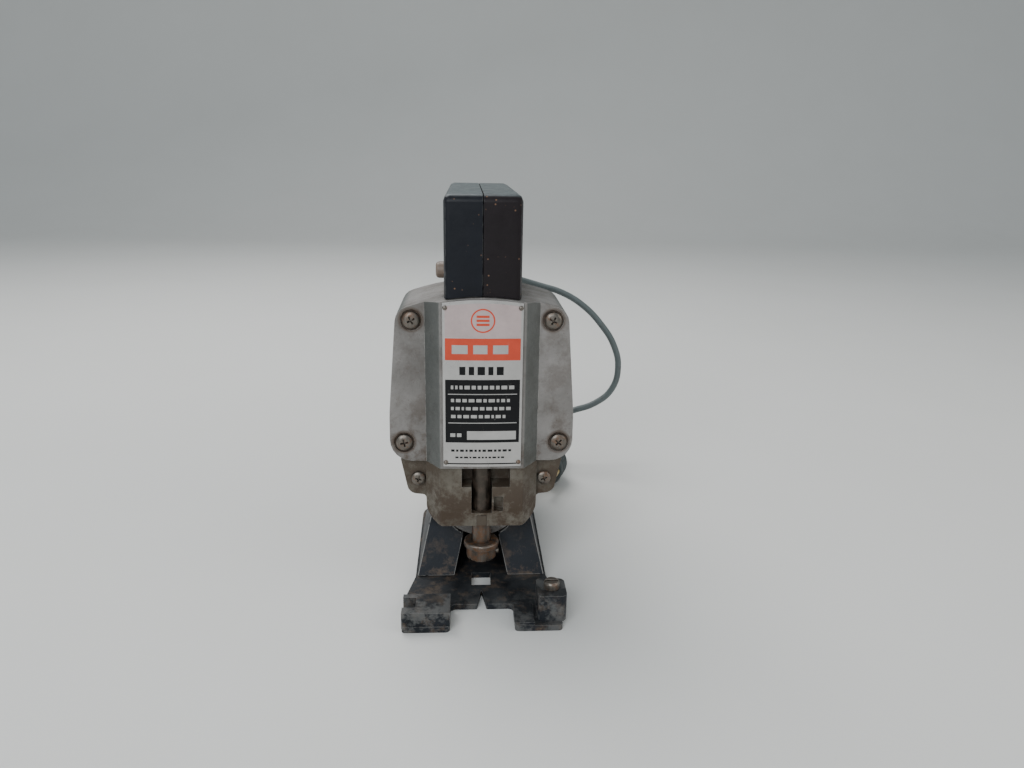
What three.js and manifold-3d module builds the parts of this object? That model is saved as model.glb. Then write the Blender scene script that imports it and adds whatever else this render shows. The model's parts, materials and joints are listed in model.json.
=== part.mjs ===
// A small all-metal jigsaw with a bolted D handle, built piece by piece.
// Millimetres. +Z is up, -Y is the front (nameplate and blade side), +X is to the right of someone facing
// the nameplate. The sole stands on z = 0. Inside this file y = 0 is the front face of the cover's column,
// and the finished group is moved along Y so that the origin is in the middle of the tool's length.

import * as THREE from 'three';
import { mergeVertices } from 'three/addons/utils/BufferGeometryUtils.js';
import Module from 'manifold-3d';

const wasm = await Module();
wasm.setup();

// ---------------------------------------------------------------- driving dimensions

const SEAT_GAP = 0.3; // between neighbours that rest on or fit in each other
const RUNNING_GAP = 0.4; // between neighbours that slide or turn past each other
const PAST = 2; // how far a cutting tool runs past the face it cuts

// heights above the table
const SOLE_THICKNESS = 3;
const TILT_AXIS_HEIGHT = 43;
const NECK_BOTTOM = 38;
const COVER_BOTTOM = 70;
const MOTOR_AXIS_HEIGHT = 93;
const GEAR_ROOM_SPARE = 4.7; // over the drive gear's pitch circle
const CROWN_WALL = 8.5; // from the room for gear and yoke to the top of the cover's arch
const HANDLE_RISE = 46.5; // from the cover's arch to the top of the handle

// front to back
const COLUMN_BEVEL_DEPTH = 10.5;
const FLANGE_THICKNESS = 12;
const GEAR_HOUSING_LENGTH = 37;
const MOTOR_HOUSING_LENGTH = 64.5;
const REAR_COVER_LENGTH = 27;
const BASE_FRONT = -33;
const BASE_REAR = 100;
const FRONT_STEP = -14; // the sole's front edge between its two toes

// widths and radii
const COLUMN_WIDTH = 41;
const COLUMN_BASE_WIDTH = 56;
const CROWN_RADIUS = 107;
const MOTOR_RADIUS = 36;
const SHELL_WALL = 3;
const SHAFT_RADIUS = 4;
const BEARING_RADIUS = 11;
const BEARING_WIDTH = 7;
const TILT_PAD_RADIUS = 21.5;
const PAD_DROP = 11; // the gear housing's floor, below the cover's lower edge
const BRACKET_SHEET = 2.5;

// screws and the bosses they bite into
const COVER_SCREW_RADIUS = 4.2;
const SCREW_HEAD_HEIGHT = 2.4;
const SCREW_SHANK_RADIUS = 2;
const SMALL_SCREW_RADIUS = 3.6;
const UPPER_SCREW_X = 34;
const UPPER_SCREW_DROP = 12.5; // below the top of the cover's arch
const LOWER_SCREW_X = 38.5;
const LOWER_SCREW_RISE = 10; // above the cover's lower edge
const LUG_SCREW_X = 32;
const LUG_SCREW_DROP = 10.5; // below the cover's lower edge
const REAR_SCREW_HEAD = 2.2;
const REAR_SCREW_INSET = 12; // inside the motor housing's radius
const SCREW_BOSS_LENGTH = 16; // the thickened places that the cover and lug screws bite into
const COVER_SCREW_BOSS = 5.5;
const LUG_SCREW_BOSS = 5;

// motor
const STATOR_YOKE = 5.6; // the laminations outside the field coils
const FIELD_DEPTH = 7; // between the laminations and the armature
const CORE_SLOT_DEPTH = 7;
const WINDING_INSET = 3;
const CORE_ENDS_ROOM = 32.5; // for the fan, commutator and brushes beyond the core
const FAN_TIP_GAP = 4;
const REAR_BEARING_INSET = 15.5; // in front of the rear cover's face

// saw drive
const PINION_TEETH = 8;
const GEAR_TEETH = 44;
const GEAR_MODULE = 1;
const GEAR_SIDE_ROOM = 3; // beside the drive gear's pitch circle
const CRANK_RADIUS = 9; // half of the plunger's 18 mm stroke
const CRANK_PIN_RADIUS = 3;
const PLUNGER_RADIUS = 4.75;
const PLUNGER_Y = 9;
const PLUNGER_BOTTOM = 17;
const YOKE_HALF_WIDTH = 15;
const YOKE_HALF_HEIGHT = 7;
const BLADE_SLOT_HALF = 0.9; // the slot in the plunger's end that takes a blade's shank
const BLADE_SLOT_DEPTH = 8;

// handle
const HANDLE_WIDTH = 36.2;
const HANDLE_FRONT = 2;
const HANDLE_REAR_SETBACK = 1.9; // from the rear cover's face
const FRONT_PILLAR_DEPTH = 34;
const REAR_PILLAR_DEPTH = 32;
const GRIP_HEIGHT = 28;
const HANDLE_WALL = 3.2;
const HANDLE_EDGE = 3;
const HANDLE_PAD_HALF_WIDTH = 15;
const HANDLE_PAD_RISE = 2; // the pads under the rear pillar stand this far above the motor housing
const SEAM_GAP = 0.3;
const LOCK_BUTTON_Y = 21;
const LOCK_BUTTON_RISE = 10; // above the top of the cover's arch
const LOCK_BUTTON_RADIUS = 4;
const LOCK_BUTTON_REACH = 4.2; // how far the button stands out of the handle
const TRIGGER_WIDTH = 12;
const TRIGGER_LENGTH = 32;
const TRIGGER_SETBACK = 16; // finger room between the front pillar and the trigger
const TRIGGER_PIN_RADIUS = 1.5;

// cord and plug
const CORD_RADIUS = 2.25;
const CORD_EXIT_RISE = 10; // above the pads under the rear pillar
const STRAIN_RELIEF_LENGTH = 24;
const COIL_CENTRE_Y = 240;
const COIL_INNER = 23;
const COIL_OUTER = 32;
const COIL_BOTTOM = 0.7;
const COIL_HEIGHT = 18.4;
const PLUG_RADIUS = 13;
const PLUG_LENGTH = 34;

// ---------------------------------------------------------------- places that follow from them

const FLANGE_FRONT = COLUMN_BEVEL_DEPTH;
const FLANGE_BACK = FLANGE_FRONT + FLANGE_THICKNESS;
const GEARS_FRONT = FLANGE_BACK + SEAT_GAP;
const GEARS_BACK = GEARS_FRONT + GEAR_HOUSING_LENGTH;
const MOTOR_FRONT = GEARS_BACK + SEAT_GAP;
const MOTOR_BACK = MOTOR_FRONT + MOTOR_HOUSING_LENGTH;
const REAR_FRONT = MOTOR_BACK + SEAT_GAP;
const REAR_BACK = REAR_FRONT + REAR_COVER_LENGTH;
const HANDLE_REAR = REAR_BACK - HANDLE_REAR_SETBACK;

const PINION_PITCH = (PINION_TEETH * GEAR_MODULE) / 2;
const GEAR_PITCH = (GEAR_TEETH * GEAR_MODULE) / 2;
const GEAR_AXIS_HEIGHT = MOTOR_AXIS_HEIGHT + PINION_PITCH + GEAR_PITCH + 0.3;
const GEAR_FRONT = GEARS_FRONT + 2.5;
const GEAR_WIDTH = 8;
const PINION_FRONT = GEAR_FRONT - 0.5;
const PINION_WIDTH = 9;
const FRONT_WALL_START = GEARS_BACK - 12; // the gear housing's rear wall, which holds the front bearing
const FRONT_BEARING_Y = FRONT_WALL_START + 2;
const REAR_BEARING_Y = REAR_BACK - REAR_BEARING_INSET;
const YOKE_BACK = GEAR_FRONT - 5.4;
const PLUNGER_TOP = GEAR_AXIS_HEIGHT + YOKE_HALF_HEIGHT + 4;
const YOKE_ROOM_TOP = Math.max(
  GEAR_AXIS_HEIGHT + GEAR_PITCH + GEAR_ROOM_SPARE, PLUNGER_TOP + CRANK_RADIUS + PAST,
);
const COVER_CROWN = YOKE_ROOM_TOP + CROWN_WALL;
const UPPER_SCREW_Z = COVER_CROWN - UPPER_SCREW_DROP;
const LOWER_SCREW_Z = COVER_BOTTOM + LOWER_SCREW_RISE;
const LUG_SCREW_Z = COVER_BOTTOM - LUG_SCREW_DROP;
const HANDLE_TOP = COVER_CROWN + HANDLE_RISE;
const CORE_FRONT = MOTOR_FRONT + 12;
const CORE_LENGTH = MOTOR_HOUSING_LENGTH - CORE_ENDS_ROOM;
const CORE_BACK = CORE_FRONT + CORE_LENGTH;
const STATOR_OUTER = MOTOR_RADIUS - SHELL_WALL - 0.4;
const STATOR_INNER = STATOR_OUTER - STATOR_YOKE;
const CORE_RADIUS = STATOR_INNER - FIELD_DEPTH;
const COMMUTATOR_FRONT = CORE_BACK + 6;
const COMMUTATOR_LENGTH = 12;
const COMMUTATOR_RADIUS = 11;
const BRUSH_Y = COMMUTATOR_FRONT + COMMUTATOR_LENGTH / 2;
const REAR_SCREW_OFFSET = MOTOR_RADIUS - REAR_SCREW_INSET;
const REAR_SCREW_LENGTH = REAR_BACK - BRUSH_Y + 0.2;
const PAD_TOP = MOTOR_AXIS_HEIGHT + MOTOR_RADIUS + HANDLE_PAD_RISE;
const CORD_EXIT_Z = PAD_TOP + CORD_EXIT_RISE;
const GRIP_BOTTOM = HANDLE_TOP - GRIP_HEIGHT;
const FRONT_PILLAR_BACK = HANDLE_FRONT + FRONT_PILLAR_DEPTH;
const REAR_PILLAR_FRONT = HANDLE_REAR - REAR_PILLAR_DEPTH;
const PAD_BOTTOM_HEIGHT = COVER_BOTTOM - PAD_DROP; // where the tilt pad meets the gear housing's floor
const TOOL_REAR = REAR_BACK + SEAT_GAP + REAR_SCREW_HEAD;
const TOOL_MIDDLE_Y = (BASE_FRONT + TOOL_REAR) / 2;

// ---------------------------------------------------------------- finishes

const FINISHES = {
  castAluminium: [0x9c9a92, 0.55, 0.75],
  darkCast: [0x6d665c, 0.7, 0.6],
  plate: [0xc9c6bf, 0.3, 0.8],
  screwSteel: [0x77736b, 0.45, 0.9],
  blackSteel: [0x20242a, 0.6, 0.6],
  brightSteel: [0xb4b4b0, 0.3, 1.0],
  bakelite: [0x14151a, 0.45, 0.0],
  buttonPlastic: [0x8a7d70, 0.5, 0.0],
  rubber: [0x33393a, 0.8, 0.0],
  cordSheath: [0x55605f, 0.6, 0.0],
  copper: [0xb5652f, 0.4, 0.9],
  brass: [0xb59a4e, 0.35, 0.9],
  carbon: [0x2b2b2b, 0.8, 0.1],
  laminations: [0x6f7276, 0.5, 0.8],
  felt: [0x4a4038, 0.95, 0.0],
};

const tool = new THREE.Group();
tool.position.y = -TOOL_MIDDLE_Y;

// ---------------------------------------------------------------- solids

/** A closed three.js geometry as a manifold solid, facing out. */
function toSolid(geometry) {
  const bare = geometry.clone();
  bare.deleteAttribute('normal');
  bare.deleteAttribute('uv');
  const merged = mergeVertices(bare, 1e-4);
  const points = merged.attributes.position;
  const corners = merged.index.array;
  const triangles = [];
  let volume = 0;
  const a = new THREE.Vector3();
  const b = new THREE.Vector3();
  const c = new THREE.Vector3();
  for (let i = 0; i < corners.length; i += 3) {
    const [p, q, r] = [corners[i], corners[i + 1], corners[i + 2]];
    if (p === q || q === r || r === p) continue;
    triangles.push([p, q, r]);
    a.fromBufferAttribute(points, p);
    b.fromBufferAttribute(points, q);
    c.fromBufferAttribute(points, r);
    volume += a.dot(b.cross(c));
  }
  if (volume < 0) triangles.forEach((triangle) => triangle.reverse());
  return new wasm.Manifold(
    new wasm.Mesh({
      numProp: 3,
      vertProperties: new Float32Array(points.array),
      triVerts: new Uint32Array(triangles.flat()),
    }),
  );
}

/** A manifold solid as a three.js geometry. */
function toGeometry(solid) {
  const mesh = solid.getMesh();
  const geometry = new THREE.BufferGeometry();
  geometry.setAttribute('position', new THREE.BufferAttribute(mesh.vertProperties, 3));
  geometry.setIndex(new THREE.BufferAttribute(mesh.triVerts, 1));
  geometry.computeVertexNormals();
  return geometry;
}

function join(...solids) {
  return solids.reduce((whole, solid) => whole.add(solid));
}

function cut(solid, ...tools) {
  return tools.reduce((whole, cutter) => whole.subtract(cutter), solid);
}

/** Adds a named piece to a group. */
function piece(name, solid, finish, parent = tool) {
  const [color, roughness, metalness] = FINISHES[finish];
  const material = new THREE.MeshStandardMaterial({ color, roughness, metalness });
  const mesh = new THREE.Mesh(toGeometry(solid), material);
  mesh.name = name;
  parent.add(mesh);
  return mesh;
}

function unit(x, y) {
  const length = Math.hypot(x, y);
  return [x / length, y / length];
}

/** An outline's corners, [x, y, radius] anticlockwise, moved inwards by a distance. */
function insetCorners(corners, distance) {
  const count = corners.length;
  return corners.map(([x, y, radius], i) => {
    const before = corners[(i + count - 1) % count];
    const after = corners[(i + 1) % count];
    const a = unit(x - before[0], y - before[1]);
    const b = unit(after[0] - x, after[1] - y);
    const turn = a[0] * b[1] - a[1] * b[0];
    const shift = distance / (1 + a[0] * b[0] + a[1] * b[1]);
    const rounding = Math.max(0, radius - Math.sign(turn) * distance);
    return [x - (a[1] + b[1]) * shift, y + (a[0] + b[0]) * shift, rounding];
  });
}

/** A shape through corners [x, y, radius], each rounded with an arc. */
function roundedShape(corners, arcStep = Math.PI / 10) {
  const count = corners.length;
  const points = [];
  corners.forEach(([x, y, radius], i) => {
    const before = corners[(i + count - 1) % count];
    const after = corners[(i + 1) % count];
    const a = unit(x - before[0], y - before[1]);
    const b = unit(after[0] - x, after[1] - y);
    const turn = Math.atan2(a[0] * b[1] - a[1] * b[0], a[0] * b[0] + a[1] * b[1]);
    if (radius < 0.05 || Math.abs(turn) < 0.01) {
      points.push(new THREE.Vector2(x, y));
      return;
    }
    const reach = radius * Math.tan(Math.abs(turn) / 2);
    const side = Math.sign(turn);
    const startX = x - a[0] * reach;
    const startY = y - a[1] * reach;
    const centreX = startX - a[1] * radius * side;
    const centreY = startY + a[0] * radius * side;
    const steps = Math.max(1, Math.ceil(Math.abs(turn) / arcStep));
    const from = Math.atan2(startY - centreY, startX - centreX);
    for (let k = 0; k <= steps; k += 1) {
      const angle = from + (turn * k) / steps;
      const px = centreX + radius * Math.cos(angle);
      const py = centreY + radius * Math.sin(angle);
      points.push(new THREE.Vector2(px, py));
    }
  });
  return new THREE.Shape(points);
}

function extruded(shape, depth) {
  return new THREE.ExtrudeGeometry(shape, { depth, bevelEnabled: false, curveSegments: 12 });
}

/** A shape in (x, y), from z0 up to z1. */
function prismZ(shape, z0, z1) {
  return toSolid(extruded(shape, z1 - z0).translate(0, 0, z0));
}

/** A shape in (x, z), from y0 back to y1. */
function prismY(shape, y0, y1) {
  return toSolid(extruded(shape, y1 - y0).rotateX(Math.PI / 2).translate(0, y1, 0));
}

/** Lays a flat shape in the (y, z) plane, with its depth along X. */
const ALONG_X = new THREE.Matrix4().makeBasis(
  new THREE.Vector3(0, 1, 0),
  new THREE.Vector3(0, 0, 1),
  new THREE.Vector3(1, 0, 0),
);

/** A shape in (y, z), from x0 across to x1. */
function prismX(shape, x0, x1) {
  return toSolid(extruded(shape, x1 - x0).applyMatrix4(ALONG_X).translate(x0, 0, 0));
}

function block(x0, x1, y0, y1, z0, z1) {
  const box = new THREE.BoxGeometry(x1 - x0, y1 - y0, z1 - z0);
  return toSolid(box.translate((x0 + x1) / 2, (y0 + y1) / 2, (z0 + z1) / 2));
}

/** How many flats stand for a round surface: more on a larger radius. */
function flatsFor(profile) {
  const radius = Math.max(...profile.map(([r]) => r));
  if (radius > 60) return 120;
  return 4 * Math.round(2.4 + Math.sqrt(radius));
}

/** A profile of [radius, distance along the axis] turned about the Y axis. */
function turned(profile, flats = flatsFor(profile)) {
  const points = profile.map(([radius, along]) => new THREE.Vector2(radius, along));
  return new THREE.LatheGeometry(points, flats);
}

function turnedY(profile, x, z) {
  return toSolid(turned(profile).translate(x, 0, z));
}

/** The same about a line parallel to Z. */
function turnedZ(profile, x, y, flats) {
  return toSolid(turned(profile, flats).rotateX(Math.PI / 2).translate(x, y, 0));
}

/** The same about a line parallel to X, with distances measured towards +X. */
function turnedX(profile, y, z) {
  return toSolid(turned(profile).rotateZ(-Math.PI / 2).translate(0, y, z));
}

function rodProfile(radius, from, to) {
  return [[0, from], [radius, from], [radius, to], [0, to]];
}

function ringProfile(inner, outer, from, to) {
  return [[inner, from], [outer, from], [outer, to], [inner, to], [inner, from]];
}

/** A pan-head screw's profile: a domed head from `seat` outwards and a shank inwards, along one axis. */
function panHeadProfile(headRadius, headHeight, shankRadius, shankLength, outwards) {
  const at = (distance) => distance * outwards;
  return [
    [0, at(-shankLength)],
    [shankRadius, at(-shankLength)],
    [shankRadius, 0],
    [headRadius, 0],
    [headRadius, at(headHeight * 0.45)],
    [headRadius * 0.8, at(headHeight * 0.85)],
    [headRadius * 0.4, at(headHeight)],
    [0, at(headHeight)],
  ];
}

function shifted(profile, distance) {
  return profile.map(([radius, along]) => [radius, along + distance]);
}

// ---------------------------------------------------------------- front cover

function crownHeight(x) {
  return COVER_CROWN - CROWN_RADIUS + Math.sqrt(CROWN_RADIUS ** 2 - x ** 2);
}

/** The cover and gear housing share one outline in (x, z): rounded sides under a low arch. */
function coverShape(bottom, bottomHalfWidth, bottomRadius) {
  const crown = [];
  for (let x = 30; x >= -30; x -= 6) crown.push([x, crownHeight(x), 0]);
  const right = [
    [bottomHalfWidth, bottom, bottomRadius],
    [LOWER_SCREW_X + 7, LOWER_SCREW_Z + 15, 60],
    [UPPER_SCREW_X + 7.4, crownHeight(UPPER_SCREW_X + 7.4) + 0.6, 8],
  ];
  const left = right.map(([x, z, radius]) => [-x, z, radius]).reverse();
  return roundedShape([...right, ...crown, ...left]);
}

function columnShape(front) {
  const half = COLUMN_WIDTH / 2;
  const baseHalf = COLUMN_BASE_WIDTH / 2;
  return roundedShape([
    [-half, front, 1.5],
    [half, front, 1.5],
    [baseHalf, FLANGE_FRONT + 0.5, 0],
    [baseHalf, FLANGE_BACK, 0],
    [-baseHalf, FLANGE_BACK, 0],
    [-baseHalf, FLANGE_FRONT + 0.5, 0],
  ]);
}

const BUSH_BOTTOM = COVER_BOTTOM + 8;
const BUSH_LENGTH = 11;
const BUSH_RADIUS = 6.4;
const YOKE_ROOM_FRONT = 3.4;

function coverScrewHole(x, z) {
  const seat = FLANGE_FRONT + 1.2;
  const shank = rodProfile(SCREW_SHANK_RADIUS + SEAT_GAP, seat - PAST, GEARS_BACK - 20);
  const counterbore = rodProfile(COVER_SCREW_RADIUS + 1, FLANGE_FRONT - PAST, seat);
  return join(turnedY(shank, x, z), turnedY(counterbore, x, z));
}

const COVER_SCREW_PLACES = [
  ['cover_screw_upper_left', -UPPER_SCREW_X, UPPER_SCREW_Z],
  ['cover_screw_upper_right', UPPER_SCREW_X, UPPER_SCREW_Z],
  ['cover_screw_lower_left', -LOWER_SCREW_X, LOWER_SCREW_Z],
  ['cover_screw_lower_right', LOWER_SCREW_X, LOWER_SCREW_Z],
];

function buildFrontCover() {
  const outline = coverShape(COVER_BOTTOM, LOWER_SCREW_X + 7.2, 11);
  const flange = prismY(outline, FLANGE_FRONT, FLANGE_BACK);
  const column = prismZ(columnShape(0), COVER_BOTTOM, COVER_CROWN + PAST);
  const archedColumn = column.intersect(prismY(outline, -PAST, FLANGE_BACK));
  const yokeRoom = block(
    -YOKE_HALF_WIDTH - 4, YOKE_HALF_WIDTH + 4, YOKE_ROOM_FRONT, FLANGE_BACK + PAST,
    BUSH_BOTTOM + BUSH_LENGTH - 1, YOKE_ROOM_TOP,
  );
  const bushSeat = rodProfile(BUSH_RADIUS + SEAT_GAP, BUSH_BOTTOM - SEAT_GAP, YOKE_ROOM_TOP - PAST);
  const plungerBore = rodProfile(PLUNGER_RADIUS + RUNNING_GAP, COVER_BOTTOM - PAST, BUSH_BOTTOM);
  return cut(
    join(flange, archedColumn),
    yokeRoom,
    turnedZ(bushSeat, 0, PLUNGER_Y),
    turnedZ(plungerBore, 0, PLUNGER_Y),
    ...COVER_SCREW_PLACES.map(([, x, z]) => coverScrewHole(x, z)),
  );
}

const NAMEPLATE_BOTTOM = COVER_BOTTOM + 2;
const NAMEPLATE_HALF_WIDTH = 18.8;
const NAMEPLATE_THICKNESS = 1.2;

function buildNameplate() {
  const top = (x) => crownHeight(x) - 0.4;
  const corners = [
    [-NAMEPLATE_HALF_WIDTH, NAMEPLATE_BOTTOM, 1],
    [NAMEPLATE_HALF_WIDTH, NAMEPLATE_BOTTOM, 1],
  ];
  for (let x = NAMEPLATE_HALF_WIDTH; x >= -NAMEPLATE_HALF_WIDTH; x -= NAMEPLATE_HALF_WIDTH / 3) {
    corners.push([x, top(x), 0]);
  }
  return prismY(roundedShape(corners), -SEAT_GAP - NAMEPLATE_THICKNESS, -SEAT_GAP);
}

function buildScrewsAndPlate() {
  piece('nameplate', buildNameplate(), 'plate');
  const seat = FLANGE_FRONT + 1.2 - SEAT_GAP;
  const profile = panHeadProfile(COVER_SCREW_RADIUS, SCREW_HEAD_HEIGHT, SCREW_SHANK_RADIUS, 24, -1);
  for (const [name, x, z] of COVER_SCREW_PLACES) {
    piece(name, turnedY(shifted(profile, seat), x, z), 'screwSteel');
  }
  const lugProfile = shifted(
    panHeadProfile(SMALL_SCREW_RADIUS, 2.2, SCREW_SHANK_RADIUS, 20, -1), LUG_FRONT - SEAT_GAP,
  );
  piece('lug_screw_left', turnedY(lugProfile, -LUG_SCREW_X, LUG_SCREW_Z), 'screwSteel');
  piece('lug_screw_right', turnedY(lugProfile, LUG_SCREW_X, LUG_SCREW_Z), 'screwSteel');
}

// ---------------------------------------------------------------- guide housing (the neck under the cover)

const LUG_FRONT = 14;
const NECK_FRONT = 2;
const NECK_HALF_WIDTH = 28.2;
const GUIDE_TOP = COVER_BOTTOM - SEAT_GAP;
const LUG_HEIGHT = 20;
const LUG_BOTTOM = COVER_BOTTOM - LUG_HEIGHT;
const SEAL_HEIGHT = 5.4;
const SEAL_RADIUS = 7.2;
const GROOVE_BOTTOM = NECK_BOTTOM + 7;

// the ring that the tilting bracket's upper front edge sweeps, behind the neck
const BRACKET_SWEEP_INNER = 21;
const BRACKET_SWEEP_OUTER = 36;
const BRACKET_SWEEP_FRONT = FLANGE_BACK - 2;

function buildGuideHousing() {
  const lugShape = roundedShape([
    [-NECK_HALF_WIDTH, NECK_BOTTOM, 9],
    [NECK_HALF_WIDTH, NECK_BOTTOM, 9],
    [NECK_HALF_WIDTH, LUG_BOTTOM, 2],
    [LUG_SCREW_X + 5, LUG_BOTTOM + 1, 5],
    [LUG_SCREW_X + 8.8, GUIDE_TOP, 0],
    [-LUG_SCREW_X - 8.8, GUIDE_TOP, 0],
    [-LUG_SCREW_X - 5, LUG_BOTTOM + 1, 5],
    [-NECK_HALF_WIDTH, LUG_BOTTOM, 2],
  ]);
  const neckOutline = roundedShape([
    [-NECK_HALF_WIDTH, NECK_BOTTOM, 9],
    [NECK_HALF_WIDTH, NECK_BOTTOM, 9],
    [NECK_HALF_WIDTH, GUIDE_TOP, 0],
    [-NECK_HALF_WIDTH, GUIDE_TOP, 0],
  ]);
  const lugs = prismY(lugShape, LUG_FRONT, FLANGE_BACK);
  const tiltRoom = turnedY(
    ringProfile(BRACKET_SWEEP_INNER, BRACKET_SWEEP_OUTER, BRACKET_SWEEP_FRONT, FLANGE_BACK + PAST),
    0, TILT_AXIS_HEIGHT,
  );
  const neck = prismZ(columnShape(NECK_FRONT), NECK_BOTTOM - PAST, GUIDE_TOP).intersect(
    prismY(neckOutline, NECK_FRONT - PAST, FLANGE_BACK),
  );
  const boreRadius = PLUNGER_RADIUS + RUNNING_GAP;
  const recess = block(-10, 14, NECK_FRONT - PAST, LUG_FRONT - 1, GUIDE_TOP - 10.5, GUIDE_TOP + PAST);
  const groove = block(-boreRadius, boreRadius, NECK_FRONT - PAST, PLUNGER_Y, GROOVE_BOTTOM, GUIDE_TOP);
  const window = block(5.9, 10.7, NECK_FRONT - PAST, NECK_FRONT + 5, 46, 54);
  const bore = turnedZ(rodProfile(boreRadius, NECK_BOTTOM - PAST, GUIDE_TOP + PAST), 0, PLUNGER_Y);
  const sealSeat = rodProfile(
    SEAL_RADIUS + SEAT_GAP, NECK_BOTTOM - PAST, NECK_BOTTOM + SEAL_HEIGHT + SEAT_GAP,
  );
  const screwHole = rodProfile(SCREW_SHANK_RADIUS + SEAT_GAP, LUG_FRONT - PAST, FLANGE_BACK + PAST);
  return cut(
    join(lugs, neck),
    tiltRoom,
    recess,
    groove,
    window,
    bore,
    turnedZ(sealSeat, 0, PLUNGER_Y),
    turnedY(screwHole, -LUG_SCREW_X, LUG_SCREW_Z),
    turnedY(screwHole, LUG_SCREW_X, LUG_SCREW_Z),
  );
}

// ---------------------------------------------------------------- gear housing

const PAD_FRONT = GEARS_FRONT + 1.2;
const PAD_LENGTH = 52;
const PAD_HALF_WIDTH = 20;
const TILT_BOLT_YS = [PAD_FRONT + 16, PAD_FRONT + 38];
const TILT_BOLT_RADIUS = 2.5;
const TILT_BOLT_DEPTH = 8; // the bolts end this far under the motor housing
const TILT_BOLT_TOP = MOTOR_AXIS_HEIGHT - MOTOR_RADIUS - TILT_BOLT_DEPTH;

/** The underside that the base tilts on: a half-round pad on the tilt axis, under two upright sides. */
function buildTiltPad() {
  const round = turnedY(rodProfile(TILT_PAD_RADIUS, PAD_FRONT, PAD_FRONT + PAD_LENGTH), 0, TILT_AXIS_HEIGHT);
  const belowAxis = block(
    -TILT_PAD_RADIUS - PAST, TILT_PAD_RADIUS + PAST, PAD_FRONT - PAST, PAD_FRONT + PAD_LENGTH + PAST,
    0, TILT_AXIS_HEIGHT + 3,
  );
  const neck = block(
    -PAD_HALF_WIDTH, PAD_HALF_WIDTH, PAD_FRONT, PAD_FRONT + PAD_LENGTH,
    TILT_AXIS_HEIGHT, PAD_BOTTOM_HEIGHT + 1,
  );
  return join(round.intersect(belowAxis), neck);
}

function screwBoss(radius, x, z) {
  return turnedY(rodProfile(radius, GEARS_FRONT, GEARS_FRONT + SCREW_BOSS_LENGTH), x, z);
}

function buildGearHousing() {
  const outline = coverShape(PAD_BOTTOM_HEIGHT, 34, 8);
  const shell = prismY(outline, GEARS_FRONT, GEARS_BACK);
  const motorNeck = turnedY(
    rodProfile(MOTOR_RADIUS, GEARS_FRONT + PAST, GEARS_BACK), 0, MOTOR_AXIS_HEIGHT,
  );
  const roomHalf = GEAR_PITCH + GEAR_SIDE_ROOM;
  const room = roundedShape([
    [-roomHalf, MOTOR_AXIS_HEIGHT - 16, 8],
    [roomHalf, MOTOR_AXIS_HEIGHT - 16, 8],
    [roomHalf + 2, YOKE_ROOM_TOP, 10],
    [-roomHalf - 2, YOKE_ROOM_TOP, 10],
  ]);
  const rearRest = block(
    -PAD_HALF_WIDTH, PAD_HALF_WIDTH, GEARS_BACK - PAST, PAD_FRONT + PAD_LENGTH,
    PAD_BOTTOM_HEIGHT - 5, PAD_BOTTOM_HEIGHT + 1,
  );
  const motorClearance = turnedY(
    rodProfile(MOTOR_RADIUS + SEAT_GAP, GEARS_BACK, MOTOR_BACK), 0, MOTOR_AXIS_HEIGHT,
  );
  const shaftBore = rodProfile(SHAFT_RADIUS + 2, FRONT_WALL_START - PAST, GEARS_BACK + PAST);
  const bearingSeat = rodProfile(BEARING_RADIUS + SEAT_GAP, FRONT_BEARING_Y - SEAT_GAP, GEARS_BACK + PAST);
  const gearShaftBore = rodProfile(SHAFT_RADIUS + SEAT_GAP, FRONT_WALL_START - PAST, GEARS_BACK - 2);
  const screwHole = rodProfile(SCREW_SHANK_RADIUS + SEAT_GAP, GEARS_FRONT - PAST, GEARS_FRONT + 14);
  const boltHole = rodProfile(TILT_BOLT_RADIUS + SEAT_GAP, 0, TILT_BOLT_TOP + PAST);
  const bosses = [-1, 1].flatMap((side) => [
    screwBoss(COVER_SCREW_BOSS, side * LOWER_SCREW_X, LOWER_SCREW_Z),
    screwBoss(LUG_SCREW_BOSS, side * LUG_SCREW_X, LUG_SCREW_Z),
  ]);
  const joined = cut(join(shell, motorNeck, buildTiltPad(), rearRest, ...bosses), motorClearance);
  return cut(
    joined,
    prismY(room, GEARS_FRONT - PAST, FRONT_WALL_START),
    turnedY(shaftBore, 0, MOTOR_AXIS_HEIGHT),
    turnedY(bearingSeat, 0, MOTOR_AXIS_HEIGHT),
    turnedY(gearShaftBore, 0, GEAR_AXIS_HEIGHT),
    ...COVER_SCREW_PLACES.map(([, x, z]) => turnedY(screwHole, x, z)),
    turnedY(screwHole, -LUG_SCREW_X, LUG_SCREW_Z),
    turnedY(screwHole, LUG_SCREW_X, LUG_SCREW_Z),
    ...TILT_BOLT_YS.map((y) => turnedZ(boltHole, 0, y)),
  );
}

// ---------------------------------------------------------------- saw drive

/** A spur gear's outline with straight-flanked teeth, its first tooth centred at the angle `phase`. */
function gearShape(teeth, pitchRadius, phase) {
  const tip = pitchRadius + 0.75 * GEAR_MODULE;
  const root = pitchRadius - 1.15 * GEAR_MODULE;
  const pitchAngle = (2 * Math.PI) / teeth;
  const tipHalf = (0.36 * GEAR_MODULE) / tip;
  const rootHalf = (0.85 * GEAR_MODULE) / root;
  const points = [];
  for (let i = 0; i < teeth; i += 1) {
    const middle = phase + i * pitchAngle;
    for (const [radius, offset] of [[root, -rootHalf], [tip, -tipHalf], [tip, tipHalf], [root, rootHalf]]) {
      const angle = middle + offset;
      points.push(new THREE.Vector2(radius * Math.cos(angle), radius * Math.sin(angle)));
    }
  }
  return new THREE.Shape(points);
}

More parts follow.
